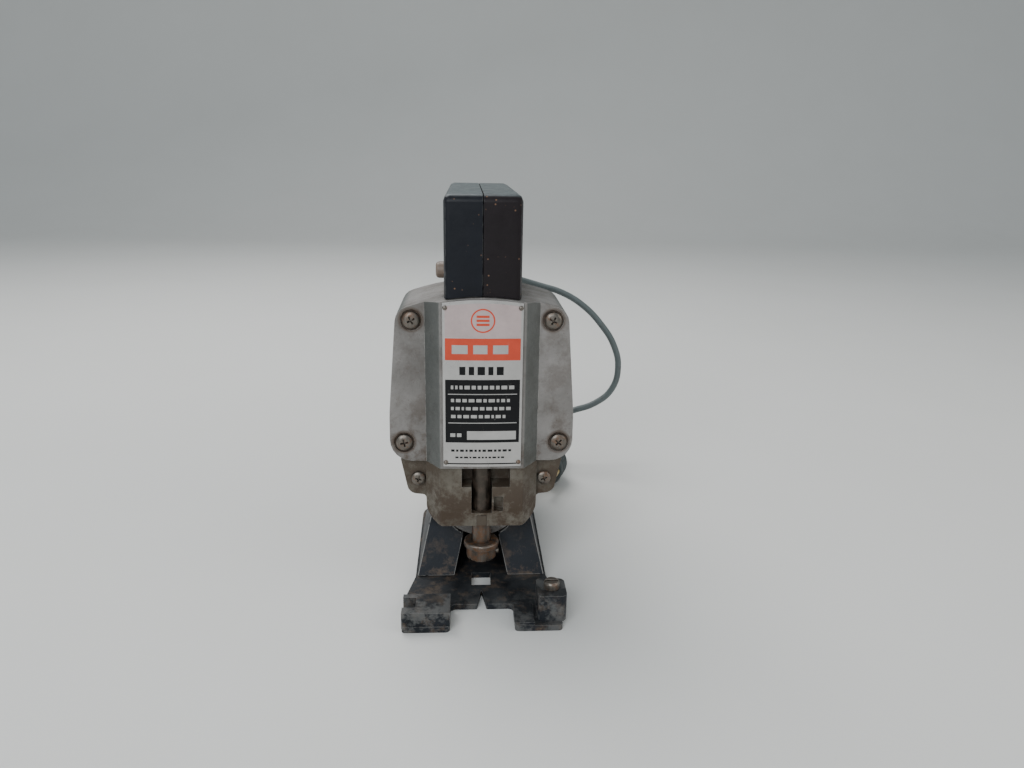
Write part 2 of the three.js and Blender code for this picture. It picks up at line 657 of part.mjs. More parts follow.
function buildArmatureShaft() {
  const rearEnd = REAR_BEARING_Y + BEARING_WIDTH + 1.5;
  const shaft = turnedY(rodProfile(SHAFT_RADIUS, PINION_FRONT + PINION_WIDTH - 0.5, rearEnd), 0, 0);
  const toothBelowGear = Math.PI / 2 + Math.PI / PINION_TEETH;
  const pinion = prismY(
    gearShape(PINION_TEETH, PINION_PITCH, toothBelowGear), PINION_FRONT, PINION_FRONT + PINION_WIDTH,
  );
  return join(shaft, pinion).translate([0, 0, MOTOR_AXIS_HEIGHT]);
}

function buildDriveGear() {
  const toothOnPinion = -Math.PI / 2;
  const web = prismY(gearShape(GEAR_TEETH, GEAR_PITCH, toothOnPinion), GEAR_FRONT, GEAR_FRONT + GEAR_WIDTH);
  const hub = turnedY(rodProfile(8, GEAR_FRONT, FRONT_WALL_START - RUNNING_GAP), 0, 0);
  const shaftBore = turnedY(
    rodProfile(SHAFT_RADIUS + RUNNING_GAP, GEAR_FRONT + 3, FRONT_WALL_START + PAST), 0, 0,
  );
  const pinHole = turnedY(
    rodProfile(CRANK_PIN_RADIUS + SEAT_GAP, GEAR_FRONT - PAST, GEAR_FRONT + GEAR_WIDTH - 2), CRANK_RADIUS, 0,
  );
  return cut(join(web, hub), shaftBore, pinHole).translate([0, 0, GEAR_AXIS_HEIGHT]);
}

function buildPlunger() {
  const rod = turnedZ(rodProfile(PLUNGER_RADIUS, PLUNGER_BOTTOM, PLUNGER_TOP), 0, PLUNGER_Y);
  const yoke = block(
    -YOKE_HALF_WIDTH, YOKE_HALF_WIDTH, PLUNGER_Y + 1, YOKE_BACK,
    GEAR_AXIS_HEIGHT - YOKE_HALF_HEIGHT, GEAR_AXIS_HEIGHT + YOKE_HALF_HEIGHT,
  );
  const slotHalfWidth = CRANK_RADIUS + CRANK_PIN_RADIUS + 0.6;
  const slotHalfHeight = CRANK_PIN_RADIUS + 0.3;
  const slot = block(
    -slotHalfWidth, slotHalfWidth, PLUNGER_Y + 5, YOKE_BACK + PAST,
    GEAR_AXIS_HEIGHT - slotHalfHeight, GEAR_AXIS_HEIGHT + slotHalfHeight,
  );
  const bladeSlot = block(
    -BLADE_SLOT_HALF, BLADE_SLOT_HALF, PLUNGER_Y - 3.5, PLUNGER_Y + 3.5,
    PLUNGER_BOTTOM - PAST, PLUNGER_BOTTOM + BLADE_SLOT_DEPTH,
  );
  return cut(join(rod, yoke), slot, bladeSlot);
}

const CLAMP_HEIGHT = 10;
const CLAMP_RADIUS = 7.7;
const CLAMP_FLANGE_RADIUS = 9;
const CLAMP_SCREW_Z = PLUNGER_BOTTOM + 3.4;

function buildBladeClamp() {
  const inner = PLUNGER_RADIUS + SEAT_GAP;
  const top = PLUNGER_BOTTOM + CLAMP_HEIGHT;
  const ring = turnedZ([
    [inner, PLUNGER_BOTTOM],
    [CLAMP_RADIUS - 1, PLUNGER_BOTTOM],
    [CLAMP_RADIUS, PLUNGER_BOTTOM + 1],
    [CLAMP_RADIUS, top - 3.4],
    [CLAMP_FLANGE_RADIUS, top - 3],
    [CLAMP_FLANGE_RADIUS, top - 0.6],
    [CLAMP_FLANGE_RADIUS - 0.6, top],
    [inner, top],
    [inner, PLUNGER_BOTTOM],
  ], 0, PLUNGER_Y);
  const screwHole = rodProfile(1.5 + SEAT_GAP, PLUNGER_RADIUS - 1, CLAMP_RADIUS + PAST);
  return cut(ring, turnedX(screwHole, PLUNGER_Y, CLAMP_SCREW_Z));
}

function buildSawDrive() {
  piece('armature_shaft', buildArmatureShaft(), 'brightSteel');
  piece('drive_gear', buildDriveGear(), 'screwSteel');
  const gearShaft = rodProfile(SHAFT_RADIUS, GEAR_FRONT + 3.5, GEARS_BACK - 2.5);
  piece('gear_shaft', turnedY(gearShaft, 0, GEAR_AXIS_HEIGHT), 'brightSteel');
  const pin = rodProfile(CRANK_PIN_RADIUS, YOKE_BACK + RUNNING_GAP, GEAR_FRONT + GEAR_WIDTH - 2 - SEAT_GAP);
  piece('crank_pin', turnedY(pin, CRANK_RADIUS, GEAR_AXIS_HEIGHT), 'brightSteel');
  piece('plunger', buildPlunger(), 'brightSteel');
  const bushInner = PLUNGER_RADIUS + RUNNING_GAP;
  const bush = ringProfile(bushInner, BUSH_RADIUS, BUSH_BOTTOM, BUSH_BOTTOM + BUSH_LENGTH - 1.5);
  piece('plunger_bush', turnedZ(bush, 0, PLUNGER_Y), 'brass');
  const seal = ringProfile(bushInner, SEAL_RADIUS, NECK_BOTTOM + 0.2, NECK_BOTTOM + SEAL_HEIGHT);
  piece('dust_seal', turnedZ(seal, 0, PLUNGER_Y), 'felt');
  piece('blade_clamp', buildBladeClamp(), 'brightSteel');
  const clampScrew = rodProfile(1.5, PLUNGER_RADIUS + SEAT_GAP, CLAMP_RADIUS + 1.2);
  piece('blade_clamp_screw', turnedX(clampScrew, PLUNGER_Y, CLAMP_SCREW_Z), 'screwSteel');
}

// ---------------------------------------------------------------- motor

const BRUSH_CAP_RADIUS = 6;
const BRUSH_BOSS_REACH = MOTOR_RADIUS + 2.5;
const BRUSH_HOLDER_RADIUS = 5;
const BRUSH_LENGTH = 15;
const BRUSH_HALF_WIDTH = 3;
const BRUSH_HALF_HEIGHT = 2.5;
const COIL_OVERHANG = 4; // how far the field coils stand out past the laminations
const POLE_HALF_WIDTH = 12.5;
const COIL_HALF_WIDTH = 18.5;
const FAN_RADIUS = MOTOR_RADIUS - SHELL_WALL - FAN_TIP_GAP;
const FAN_BLADES = 10;
const WINDING_RADIUS = CORE_RADIUS - WINDING_INSET;
const CORE_SLOT_BOTTOM = CORE_RADIUS - CORE_SLOT_DEPTH;
const CORE_TOOTH_HALF = 0.2; // radians

/** A block that stands up from a housing to carry the handle's rear pillar. */
function handlePad(y0, y1) {
  return block(
    -HANDLE_PAD_HALF_WIDTH, HANDLE_PAD_HALF_WIDTH, y0, y1,
    MOTOR_AXIS_HEIGHT + MOTOR_RADIUS - SHELL_WALL - 2, PAD_TOP,
  );
}

function rearScrewZ(side) {
  return MOTOR_AXIS_HEIGHT + side * REAR_SCREW_OFFSET;
}

function buildMotorHousing() {
  const inner = MOTOR_RADIUS - SHELL_WALL;
  const tube = turnedY(ringProfile(inner, MOTOR_RADIUS, MOTOR_FRONT, MOTOR_BACK), 0, MOTOR_AXIS_HEIGHT);
  const bosses = [-1, 1].map((side) => join(
    turnedY(rodProfile(4.5, BRUSH_Y - 4, MOTOR_BACK), 0, rearScrewZ(side)),
    block(-2.5, 2.5, BRUSH_Y - 4, MOTOR_BACK, ...zSpan(side, REAR_SCREW_OFFSET, inner + 1)),
  ));
  const brushBoss = turnedX(
    rodProfile(BRUSH_CAP_RADIUS + 2.4, -BRUSH_BOSS_REACH, BRUSH_BOSS_REACH), BRUSH_Y, MOTOR_AXIS_HEIGHT,
  );
  const bore = turnedY(rodProfile(inner, MOTOR_FRONT, MOTOR_BACK), 0, MOTOR_AXIS_HEIGHT);
  const capReach = BRUSH_BOSS_REACH + PAST;
  const capHole = turnedX(
    rodProfile(BRUSH_CAP_RADIUS + SEAT_GAP, -capReach, capReach), BRUSH_Y, MOTOR_AXIS_HEIGHT,
  );
  const screwHole = rodProfile(SCREW_SHANK_RADIUS + SEAT_GAP, BRUSH_Y, MOTOR_BACK + PAST);
  const pad = cut(handlePad(REAR_PILLAR_FRONT - 3, MOTOR_BACK), bore);
  return cut(
    join(tube, cut(brushBoss, bore), pad, ...bosses),
    capHole,
    turnedY(screwHole, 0, rearScrewZ(-1)),
    turnedY(screwHole, 0, rearScrewZ(1)),
  );
}

/** The two heights, low first, of what spans from one distance to another off the motor axis. */
function zSpan(side, near, far) {
  const ends = [MOTOR_AXIS_HEIGHT + side * near, MOTOR_AXIS_HEIGHT + side * far];
  return ends.sort((a, b) => a - b);
}

function buildRearCover() {
  const inner = MOTOR_RADIUS - SHELL_WALL;
  const faceRadius = REAR_SCREW_OFFSET + 4;
  const shell = turnedY([
    [0, REAR_BACK],
    [faceRadius, REAR_BACK],
    [faceRadius + 4.5, REAR_BACK - 2],
    [MOTOR_RADIUS - 1.5, REAR_BACK - 6],
    [MOTOR_RADIUS, REAR_BACK - 11],
    [MOTOR_RADIUS, REAR_FRONT],
    [inner, REAR_FRONT],
    [inner, REAR_BACK - 11],
    [inner - 4, REAR_BACK - 6],
    [faceRadius, REAR_BACK - SHELL_WALL],
    [0, REAR_BACK - SHELL_WALL],
  ], 0, MOTOR_AXIS_HEIGHT);
  const bearingBoss = turnedY(
    ringProfile(BEARING_RADIUS + SEAT_GAP, BEARING_RADIUS + 3, REAR_BEARING_Y - 1, REAR_BACK - 1),
    0, MOTOR_AXIS_HEIGHT,
  );
  const cavity = turnedY(rodProfile(inner, REAR_FRONT - PAST, REAR_BACK - 11), 0, MOTOR_AXIS_HEIGHT);
  const vents = [];
  for (let i = 0; i < 12; i += 1) {
    const angle = ((i + 0.5) * Math.PI) / 6;
    const slot = block(
      BEARING_RADIUS + 6, faceRadius - 1, REAR_BACK - SHELL_WALL - PAST, REAR_BACK + PAST, -1.6, 1.6,
    );
    const isScrewPlace = Math.abs(Math.cos(angle)) < 0.5;
    if (isScrewPlace) continue;
    vents.push(slot.rotate([0, (angle * 180) / Math.PI, 0]).translate([0, 0, MOTOR_AXIS_HEIGHT]));
  }
  const screwHole = rodProfile(SCREW_SHANK_RADIUS + SEAT_GAP, REAR_FRONT, REAR_BACK + PAST);
  return cut(
    join(shell, bearingBoss, cut(handlePad(REAR_FRONT, HANDLE_REAR - 1), cavity)),
    ...vents,
    turnedY(screwHole, 0, rearScrewZ(-1)),
    turnedY(screwHole, 0, rearScrewZ(1)),
  );
}

function buildCoolingFan() {
  const front = MOTOR_FRONT + 1.2;
  const back = CORE_FRONT - COIL_OVERHANG - 1;
  const hub = turnedY(rodProfile(10, front, back), 0, 0);
  const disc = turnedY(rodProfile(FAN_RADIUS, front, front + 1.6), 0, 0, 36);
  const blades = [];
  for (let i = 0; i < FAN_BLADES; i += 1) {
    blades.push(block(8, FAN_RADIUS, front + 1, back, -0.7, 0.7).rotate([0, (i * 360) / FAN_BLADES, 0]));
  }
  const bore = turnedY(rodProfile(SHAFT_RADIUS + SEAT_GAP, front - PAST, back + PAST), 0, 0);
  return cut(join(hub, disc, ...blades), bore).translate([0, 0, MOTOR_AXIS_HEIGHT]);
}

function buildArmatureCore() {
  const slots = 12;
  const points = [];
  for (let i = 0; i < slots; i += 1) {
    const middle = (i * 2 * Math.PI) / slots;
    const tooth = [
      [CORE_SLOT_BOTTOM, -CORE_TOOTH_HALF],
      [CORE_RADIUS, -CORE_TOOTH_HALF],
      [CORE_RADIUS, 0],
      [CORE_RADIUS, CORE_TOOTH_HALF],
      [CORE_SLOT_BOTTOM, CORE_TOOTH_HALF],
    ];
    for (const [radius, offset] of tooth) {
      const angle = middle + offset;
      points.push(new THREE.Vector2(radius * Math.cos(angle), radius * Math.sin(angle)));
    }
  }
  const stack = prismY(new THREE.Shape(points), CORE_FRONT, CORE_BACK);
  const bore = turnedY(rodProfile(SHAFT_RADIUS + SEAT_GAP, CORE_FRONT - PAST, CORE_BACK + PAST), 0, 0);
  return cut(stack, bore).translate([0, 0, MOTOR_AXIS_HEIGHT]);
}

function buildStator() {
  const ring = turnedY(ringProfile(STATOR_INNER, STATOR_OUTER, CORE_FRONT, CORE_BACK), 0, MOTOR_AXIS_HEIGHT);
  const shoes = turnedY(
    ringProfile(CORE_RADIUS + 0.9, STATOR_INNER + 1, CORE_FRONT, CORE_BACK), 0, MOTOR_AXIS_HEIGHT,
  );
  const poles = block(
    -POLE_HALF_WIDTH, POLE_HALF_WIDTH, CORE_FRONT, CORE_BACK,
    MOTOR_AXIS_HEIGHT - STATOR_OUTER, MOTOR_AXIS_HEIGHT + STATOR_OUTER,
  );
  return join(ring, shoes.intersect(poles));
}

function buildFieldCoil(side) {
  const front = CORE_FRONT - COIL_OVERHANG;
  const back = CORE_BACK + COIL_OVERHANG;
  const ring = turnedY(
    ringProfile(CORE_RADIUS + 1.3, STATOR_INNER - 0.4, front - 1, back + 1), 0, MOTOR_AXIS_HEIGHT,
  );
  const outer = block(-COIL_HALF_WIDTH, COIL_HALF_WIDTH, front, back, ...zSpan(side, 8, STATOR_OUTER));
  const poleHalf = POLE_HALF_WIDTH + 0.4;
  const aroundPole = block(
    -poleHalf, poleHalf, CORE_FRONT - 0.4, CORE_BACK + 0.4, ...zSpan(side, 4, MOTOR_RADIUS),
  );
  return cut(ring.intersect(outer), aroundPole);
}

function buildMotor() {
  piece('motor_housing', buildMotorHousing(), 'castAluminium');
  piece('rear_cover', buildRearCover(), 'castAluminium');
  const screwProfile = shifted(
    panHeadProfile(SMALL_SCREW_RADIUS, REAR_SCREW_HEAD, SCREW_SHANK_RADIUS, REAR_SCREW_LENGTH, 1),
    REAR_BACK + SEAT_GAP,
  );
  piece('rear_screw_upper', turnedY(screwProfile, 0, rearScrewZ(1)), 'screwSteel');
  piece('rear_screw_lower', turnedY(screwProfile, 0, rearScrewZ(-1)), 'screwSteel');
  piece('cooling_fan', buildCoolingFan(), 'castAluminium');
  piece('armature_core', buildArmatureCore(), 'laminations');
  const windingInner = SHAFT_RADIUS + 0.8;
  const frontWinding = ringProfile(windingInner, WINDING_RADIUS, CORE_FRONT - 2.6, CORE_FRONT - SEAT_GAP);
  const rearWinding = ringProfile(
    windingInner, WINDING_RADIUS, CORE_BACK + SEAT_GAP, COMMUTATOR_FRONT - SEAT_GAP,
  );
  piece('armature_winding_front', turnedY(frontWinding, 0, MOTOR_AXIS_HEIGHT), 'copper');
  piece('armature_winding_rear', turnedY(rearWinding, 0, MOTOR_AXIS_HEIGHT), 'copper');
  const commutator = ringProfile(
    SHAFT_RADIUS + SEAT_GAP, COMMUTATOR_RADIUS, COMMUTATOR_FRONT, COMMUTATOR_FRONT + COMMUTATOR_LENGTH,
  );
  piece('commutator', turnedY(commutator, 0, MOTOR_AXIS_HEIGHT), 'copper');
  piece('field_stator', buildStator(), 'laminations');
  piece('field_coil_upper', buildFieldCoil(1), 'copper');
  piece('field_coil_lower', buildFieldCoil(-1), 'copper');
  for (const [name, y] of [['front_bearing', FRONT_BEARING_Y], ['rear_bearing', REAR_BEARING_Y]]) {
    const bearing = ringProfile(SHAFT_RADIUS + RUNNING_GAP, BEARING_RADIUS, y, y + BEARING_WIDTH);
    piece(name, turnedY(bearing, 0, MOTOR_AXIS_HEIGHT), 'brightSteel');
  }
}

function mirroredX(solid, side) {
  return side < 0 ? solid.rotate([0, 0, 180]).translate([0, 2 * BRUSH_Y, 0]) : solid;
}

/** The brush gear is the same on both sides of the commutator. */
function buildBrushGear() {
  const brushEnd = COMMUTATOR_RADIUS + RUNNING_GAP;
  const brush = block(
    brushEnd, brushEnd + BRUSH_LENGTH, BRUSH_Y - BRUSH_HALF_WIDTH, BRUSH_Y + BRUSH_HALF_WIDTH,
    MOTOR_AXIS_HEIGHT - BRUSH_HALF_HEIGHT, MOTOR_AXIS_HEIGHT + BRUSH_HALF_HEIGHT,
  );
  const holderFrom = COMMUTATOR_RADIUS + 6;
  const holderTo = MOTOR_RADIUS - 2;
  const tube = turnedX(rodProfile(BRUSH_HOLDER_RADIUS, holderFrom, holderTo), BRUSH_Y, MOTOR_AXIS_HEIGHT);
  const wayHalfWidth = BRUSH_HALF_WIDTH + SEAT_GAP;
  const wayHalfHeight = BRUSH_HALF_HEIGHT + SEAT_GAP;
  const brushWay = block(
    holderFrom - PAST, holderTo + PAST, BRUSH_Y - wayHalfWidth, BRUSH_Y + wayHalfWidth,
    MOTOR_AXIS_HEIGHT - wayHalfHeight, MOTOR_AXIS_HEIGHT + wayHalfHeight,
  );
  const holder = cut(tube, brushWay);
  const capFrom = holderTo + SEAT_GAP;
  const capTo = BRUSH_BOSS_REACH + 0.6;
  const cap = turnedX([
    [0, capFrom],
    [BRUSH_CAP_RADIUS, capFrom],
    [BRUSH_CAP_RADIUS, capTo - 0.6],
    [BRUSH_CAP_RADIUS - 0.6, capTo],
    [0, capTo],
  ], BRUSH_Y, MOTOR_AXIS_HEIGHT);
  const driverSlot = block(
    capTo - 1.2, capTo + PAST, BRUSH_Y - 4.5, BRUSH_Y + 4.5,
    MOTOR_AXIS_HEIGHT - 0.8, MOTOR_AXIS_HEIGHT + 0.8,
  );
  for (const [sideName, side] of [['left', -1], ['right', 1]]) {
    piece(`brush_${sideName}`, mirroredX(brush, side), 'carbon');
    piece(`brush_holder_${sideName}`, mirroredX(holder, side), 'brass');
    piece(`brush_cap_${sideName}`, mirroredX(cut(cap, driverSlot), side), 'bakelite');
  }
}

// ---------------------------------------------------------------- handle

const FRONT_PILLAR_FOOT = crownHeight(HANDLE_WIDTH / 2) - 2;
const REAR_PILLAR_FOOT = PAD_TOP + SEAT_GAP;

/** The handle's side outline in (y, z): a front pillar, a level grip and a rear pillar. */
const HANDLE_CORNERS = [
  [HANDLE_FRONT, FRONT_PILLAR_FOOT, 0],
  [FRONT_PILLAR_BACK, FRONT_PILLAR_FOOT, 0],
  [FRONT_PILLAR_BACK, GRIP_BOTTOM, 9],
  [REAR_PILLAR_FRONT, GRIP_BOTTOM, 9],
  [REAR_PILLAR_FRONT, REAR_PILLAR_FOOT, 0],
  [HANDLE_REAR, REAR_PILLAR_FOOT, 0],
  [HANDLE_REAR, HANDLE_TOP, 10],
  [HANDLE_FRONT, HANDLE_TOP, 4],
];

const TRIGGER_FRONT = FRONT_PILLAR_BACK + TRIGGER_SETBACK;
const TRIGGER_PIVOT_Y = TRIGGER_FRONT + 3;
const TRIGGER_PIVOT_Z = GRIP_BOTTOM + 7;
const LOCK_BUTTON_Z = COVER_CROWN + LOCK_BUTTON_RISE;
const HANDLE_SCREWS = [
  ['handle_screw_front', HANDLE_FRONT + 17, HANDLE_TOP - 10],
  ['handle_screw_rear', REAR_PILLAR_FRONT + 16, HANDLE_TOP - 14],
];
const HANDLE_BOSS_RADIUS = 4.6;

/** The whole handle before it is split: rounded long edges, hollow, with a boss round each screw. */
function buildHandleBlank() {
  const half = HANDLE_WIDTH / 2;
  const core = roundedShape(insetCorners(HANDLE_CORNERS, HANDLE_EDGE));
  const rounded = new THREE.ExtrudeGeometry(core, {
    depth: HANDLE_WIDTH - 2 * HANDLE_EDGE,
    bevelEnabled: true,
    bevelSize: HANDLE_EDGE,
    bevelThickness: HANDLE_EDGE,
    bevelSegments: 2,
  });
  const outside = toSolid(rounded.applyMatrix4(ALONG_X).translate(-half + HANDLE_EDGE, 0, 0));
  const inside = roundedShape(insetCorners(HANDLE_CORNERS, HANDLE_WALL));
  const hollow = prismX(inside, -half + HANDLE_WALL, half - HANDLE_WALL);
  const bossProfile = rodProfile(HANDLE_BOSS_RADIUS, -half + 2, half - 2);
  const bosses = HANDLE_SCREWS.map(([, y, z]) => turnedX(bossProfile, y, z));
  return join(cut(outside, hollow), ...bosses);
}

function buildHandleHalves() {
  const half = HANDLE_WIDTH / 2;
  const crown = turnedY(
    rodProfile(CROWN_RADIUS + SEAT_GAP, HANDLE_FRONT - PAST, FRONT_PILLAR_BACK + PAST),
    0, COVER_CROWN - CROWN_RADIUS,
  );
  const triggerSlot = block(
    -TRIGGER_WIDTH / 2 - RUNNING_GAP, TRIGGER_WIDTH / 2 + RUNNING_GAP,
    TRIGGER_FRONT - 1, TRIGGER_FRONT + TRIGGER_LENGTH + 2.5,
    GRIP_BOTTOM - PAST, GRIP_BOTTOM + HANDLE_WALL + PAST,
  );
  const pinHole = turnedX(
    rodProfile(TRIGGER_PIN_RADIUS + SEAT_GAP, -half + 1.2, half - 1.2), TRIGGER_PIVOT_Y, TRIGGER_PIVOT_Z,
  );
  const reliefHole = turnedY(
    rodProfile(STRAIN_ROOT_RADIUS + SEAT_GAP, HANDLE_REAR - HANDLE_WALL - PAST, HANDLE_REAR + PAST),
    0, CORD_EXIT_Z,
  );
  const buttonHole = turnedX(
    rodProfile(LOCK_BUTTON_RADIUS + RUNNING_GAP, -half - PAST, -half + HANDLE_WALL + PAST),
    LOCK_BUTTON_Y, LOCK_BUTTON_Z,
  );
  const screwWays = HANDLE_SCREWS.map(([, y, z]) => join(
    turnedX(rodProfile(SCREW_SHANK_RADIUS + SEAT_GAP, -half + 4, half + PAST), y, z),
    turnedX(rodProfile(SMALL_SCREW_RADIUS + SEAT_GAP, half - 1.4, half + PAST), y, z),
  ));
  const blank = cut(buildHandleBlank(), crown, triggerSlot, pinHole, reliefHole, buttonHole, ...screwWays);
  const sideBlock = (x0, x1) => block(
    x0, x1, HANDLE_FRONT - PAST, HANDLE_REAR + PAST, 0, HANDLE_TOP + PAST,
  );
  const leftSide = sideBlock(-half - PAST, -SEAM_GAP / 2);
  const rightSide = sideBlock(SEAM_GAP / 2, half + PAST);
  piece('handle_left', blank.intersect(leftSide), 'bakelite');
  piece('handle_right', blank.intersect(rightSide), 'bakelite');
}

function buildTrigger() {
  const bottom = GRIP_BOTTOM - 10;
  const profile = roundedShape([
    [TRIGGER_FRONT, GRIP_BOTTOM - 2, 1.5],
    [TRIGGER_FRONT + 8, bottom + 3, 6],
    [TRIGGER_FRONT + TRIGGER_LENGTH - 2, bottom, 4],
    [TRIGGER_FRONT + TRIGGER_LENGTH, GRIP_BOTTOM + 4, 1],
    [TRIGGER_FRONT + 8, GRIP_BOTTOM + 4, 2],
    [TRIGGER_PIVOT_Y + 3, TRIGGER_PIVOT_Z + 3, 2],
    [TRIGGER_FRONT, TRIGGER_PIVOT_Z + 3, 2],
  ]);
  const lever = prismX(profile, -TRIGGER_WIDTH / 2, TRIGGER_WIDTH / 2);
  const bore = turnedX(
    rodProfile(TRIGGER_PIN_RADIUS + RUNNING_GAP, -TRIGGER_WIDTH, TRIGGER_WIDTH),
    TRIGGER_PIVOT_Y, TRIGGER_PIVOT_Z,
  );
  return cut(lever, bore);
}

function buildLockButton() {
  const outer = -HANDLE_WIDTH / 2 - LOCK_BUTTON_REACH;
  return turnedX([
    [0, outer],
    [LOCK_BUTTON_RADIUS - 1.2, outer],
    [LOCK_BUTTON_RADIUS - 0.3, outer + 0.6],
    [LOCK_BUTTON_RADIUS, outer + 1.6],
    [LOCK_BUTTON_RADIUS, outer + 11],
    [0, outer + 11],
  ], LOCK_BUTTON_Y, LOCK_BUTTON_Z);
}

function buildHandle() {
  const half = HANDLE_WIDTH / 2;
  buildHandleHalves();
  const screwProfile = shifted(panHeadProfile(SMALL_SCREW_RADIUS, 2, SCREW_SHANK_RADIUS, half * 2 - 8, 1),
    half - 1.4 + SEAT_GAP);
  for (const [name, y, z] of HANDLE_SCREWS) piece(name, turnedX(screwProfile, y, z), 'screwSteel');
  piece('trigger', buildTrigger(), 'bakelite');
  const pin = rodProfile(TRIGGER_PIN_RADIUS, -half + 1.5, half - 1.5);
  piece('trigger_pin', turnedX(pin, TRIGGER_PIVOT_Y, TRIGGER_PIVOT_Z), 'brightSteel');
  piece('lock_button', buildLockButton(), 'buttonPlastic');
  const switchBottom = TRIGGER_PIVOT_Z + 5.5;
  piece('switch_body', block(
    -9, 9, TRIGGER_FRONT + 7, TRIGGER_FRONT + TRIGGER_LENGTH + 4,
    switchBottom, HANDLE_TOP - HANDLE_WALL - 0.8,
  ), 'bakelite');
}

// ---------------------------------------------------------------- base

const BRACKET_FRONT = GEARS_FRONT + 1.2;
const BRACKET_TOE = 13; // where the bracket's sloping front meets the sole
const BRACKET_PLATE = 7;
const BRACKET_REAR = PAD_FRONT + PAD_LENGTH;
const BRACKET_TOP = 33;
const BRACKET_SLOPE_TOP = 27;
const BRACKET_TOP_HALF = 26.5;
const BRACKET_FOOT_HALF = 33.5;
const SADDLE_INNER = TILT_PAD_RADIUS + 0.4;
const SADDLE_OUTER = SADDLE_INNER + BRACKET_SHEET;
const TILT_LIMIT = 45; // degrees each way
const BOLT_HEAD_TOP = TILT_AXIS_HEIGHT - SADDLE_OUTER - RUNNING_GAP;
const TOE_INNER = 15.5;
const TOE_OUTER = 38.5;
const LEFT_TOE_TOP = 10.2;
const FENCE_SLOT_FRONT = -27;
const FENCE_SLOT_REAR = -18.5;
const FENCE_SLOT_BOTTOM = SOLE_THICKNESS + SEAT_GAP + 0.9;
const FENCE_SLOT_TOP = FENCE_SLOT_BOTTOM + 4.6;
const BLOCK_INNER = 26.6;
const BLOCK_OUTER = 40.5;
const BLOCK_TOP = 17;
const FENCE_SCREW_X = (BLOCK_INNER + BLOCK_OUTER) / 2;
const FENCE_SCREW_Y = (FENCE_SLOT_FRONT + FENCE_SLOT_REAR) / 2;
const BLADE_OPENING_HALF = 5;
const BLADE_OPENING_FRONT = PLUNGER_Y - 5;
const BLADE_OPENING_REAR = PLUNGER_Y + 7;

function buildBase() {
  const sole = roundedShape([
    [-TOE_OUTER, BASE_FRONT, 2],
    [-TOE_INNER, BASE_FRONT, 2],
    [-TOE_INNER, FRONT_STEP, 2.5],
    [-2.4, FRONT_STEP, 0.5],
    [0, FRONT_STEP + 14, 0.3],
    [2.4, FRONT_STEP, 0.5],
    [TOE_INNER, FRONT_STEP, 2.5],
    [TOE_INNER, BASE_FRONT, 2],
    [TOE_OUTER, BASE_FRONT, 2],
    [TOE_OUTER, BRACKET_TOE - 20, 4],
    [BRACKET_FOOT_HALF + 1, BRACKET_TOE, 4],
    [BRACKET_FOOT_HALF + 1, BASE_REAR, 12],
    [-BRACKET_FOOT_HALF - 1, BASE_REAR, 12],
    [-BRACKET_FOOT_HALF - 1, BRACKET_TOE, 4],
    [-TOE_OUTER, BRACKET_TOE - 20, 4],
  ]);
  const leftToe = block(
    -TOE_OUTER, -TOE_INNER, BASE_FRONT + 0.5, FRONT_STEP - 1.5, SOLE_THICKNESS - 1, LEFT_TOE_TOP,
  );
  const fenceWay = block(
    -TOE_OUTER - PAST, -TOE_INNER + PAST, FENCE_SLOT_FRONT, FENCE_SLOT_REAR,
    FENCE_SLOT_BOTTOM, FENCE_SLOT_TOP,
  );
  const openEnd = block(
    -TOE_OUTER - PAST, -TOE_OUTER + 6.5, FENCE_SLOT_FRONT, FENCE_SLOT_REAR,
    FENCE_SLOT_BOTTOM, LEFT_TOE_TOP + PAST,
  );
  const bladeOpening = block(
    -BLADE_OPENING_HALF, BLADE_OPENING_HALF, BLADE_OPENING_FRONT, BLADE_OPENING_REAR,
    -PAST, SOLE_THICKNESS + PAST,
  );
  const rightToe = block(
    TOE_INNER, BLOCK_INNER - 1.6, BASE_FRONT + 1, FRONT_STEP - 1,
    SOLE_THICKNESS - 1, FENCE_SLOT_BOTTOM - 0.2,
  );
  return cut(join(prismZ(sole, 0, SOLE_THICKNESS), leftToe, rightToe), fenceWay, openEnd, bladeOpening);
}

/** The saddle's outline in (x, z): sloping sides under a round trough. */
function bracketShape() {
  const corners = [
    [-BRACKET_FOOT_HALF, SOLE_THICKNESS + SEAT_GAP, 0],
    [BRACKET_FOOT_HALF, SOLE_THICKNESS + SEAT_GAP, 0],
    [BRACKET_TOP_HALF, BRACKET_TOP, 1],
  ];
  const troughHalfAngle = Math.acos((TILT_AXIS_HEIGHT - BRACKET_TOP) / SADDLE_INNER);
  const steps = 14;
  for (let i = 0; i <= steps; i += 1) {
    const angle = troughHalfAngle - (2 * troughHalfAngle * i) / steps;
    corners.push([SADDLE_INNER * Math.sin(angle), TILT_AXIS_HEIGHT - SADDLE_INNER * Math.cos(angle), 0]);
  }
  corners.push([-BRACKET_TOP_HALF, BRACKET_TOP, 1]);
  return roundedShape(corners);
}

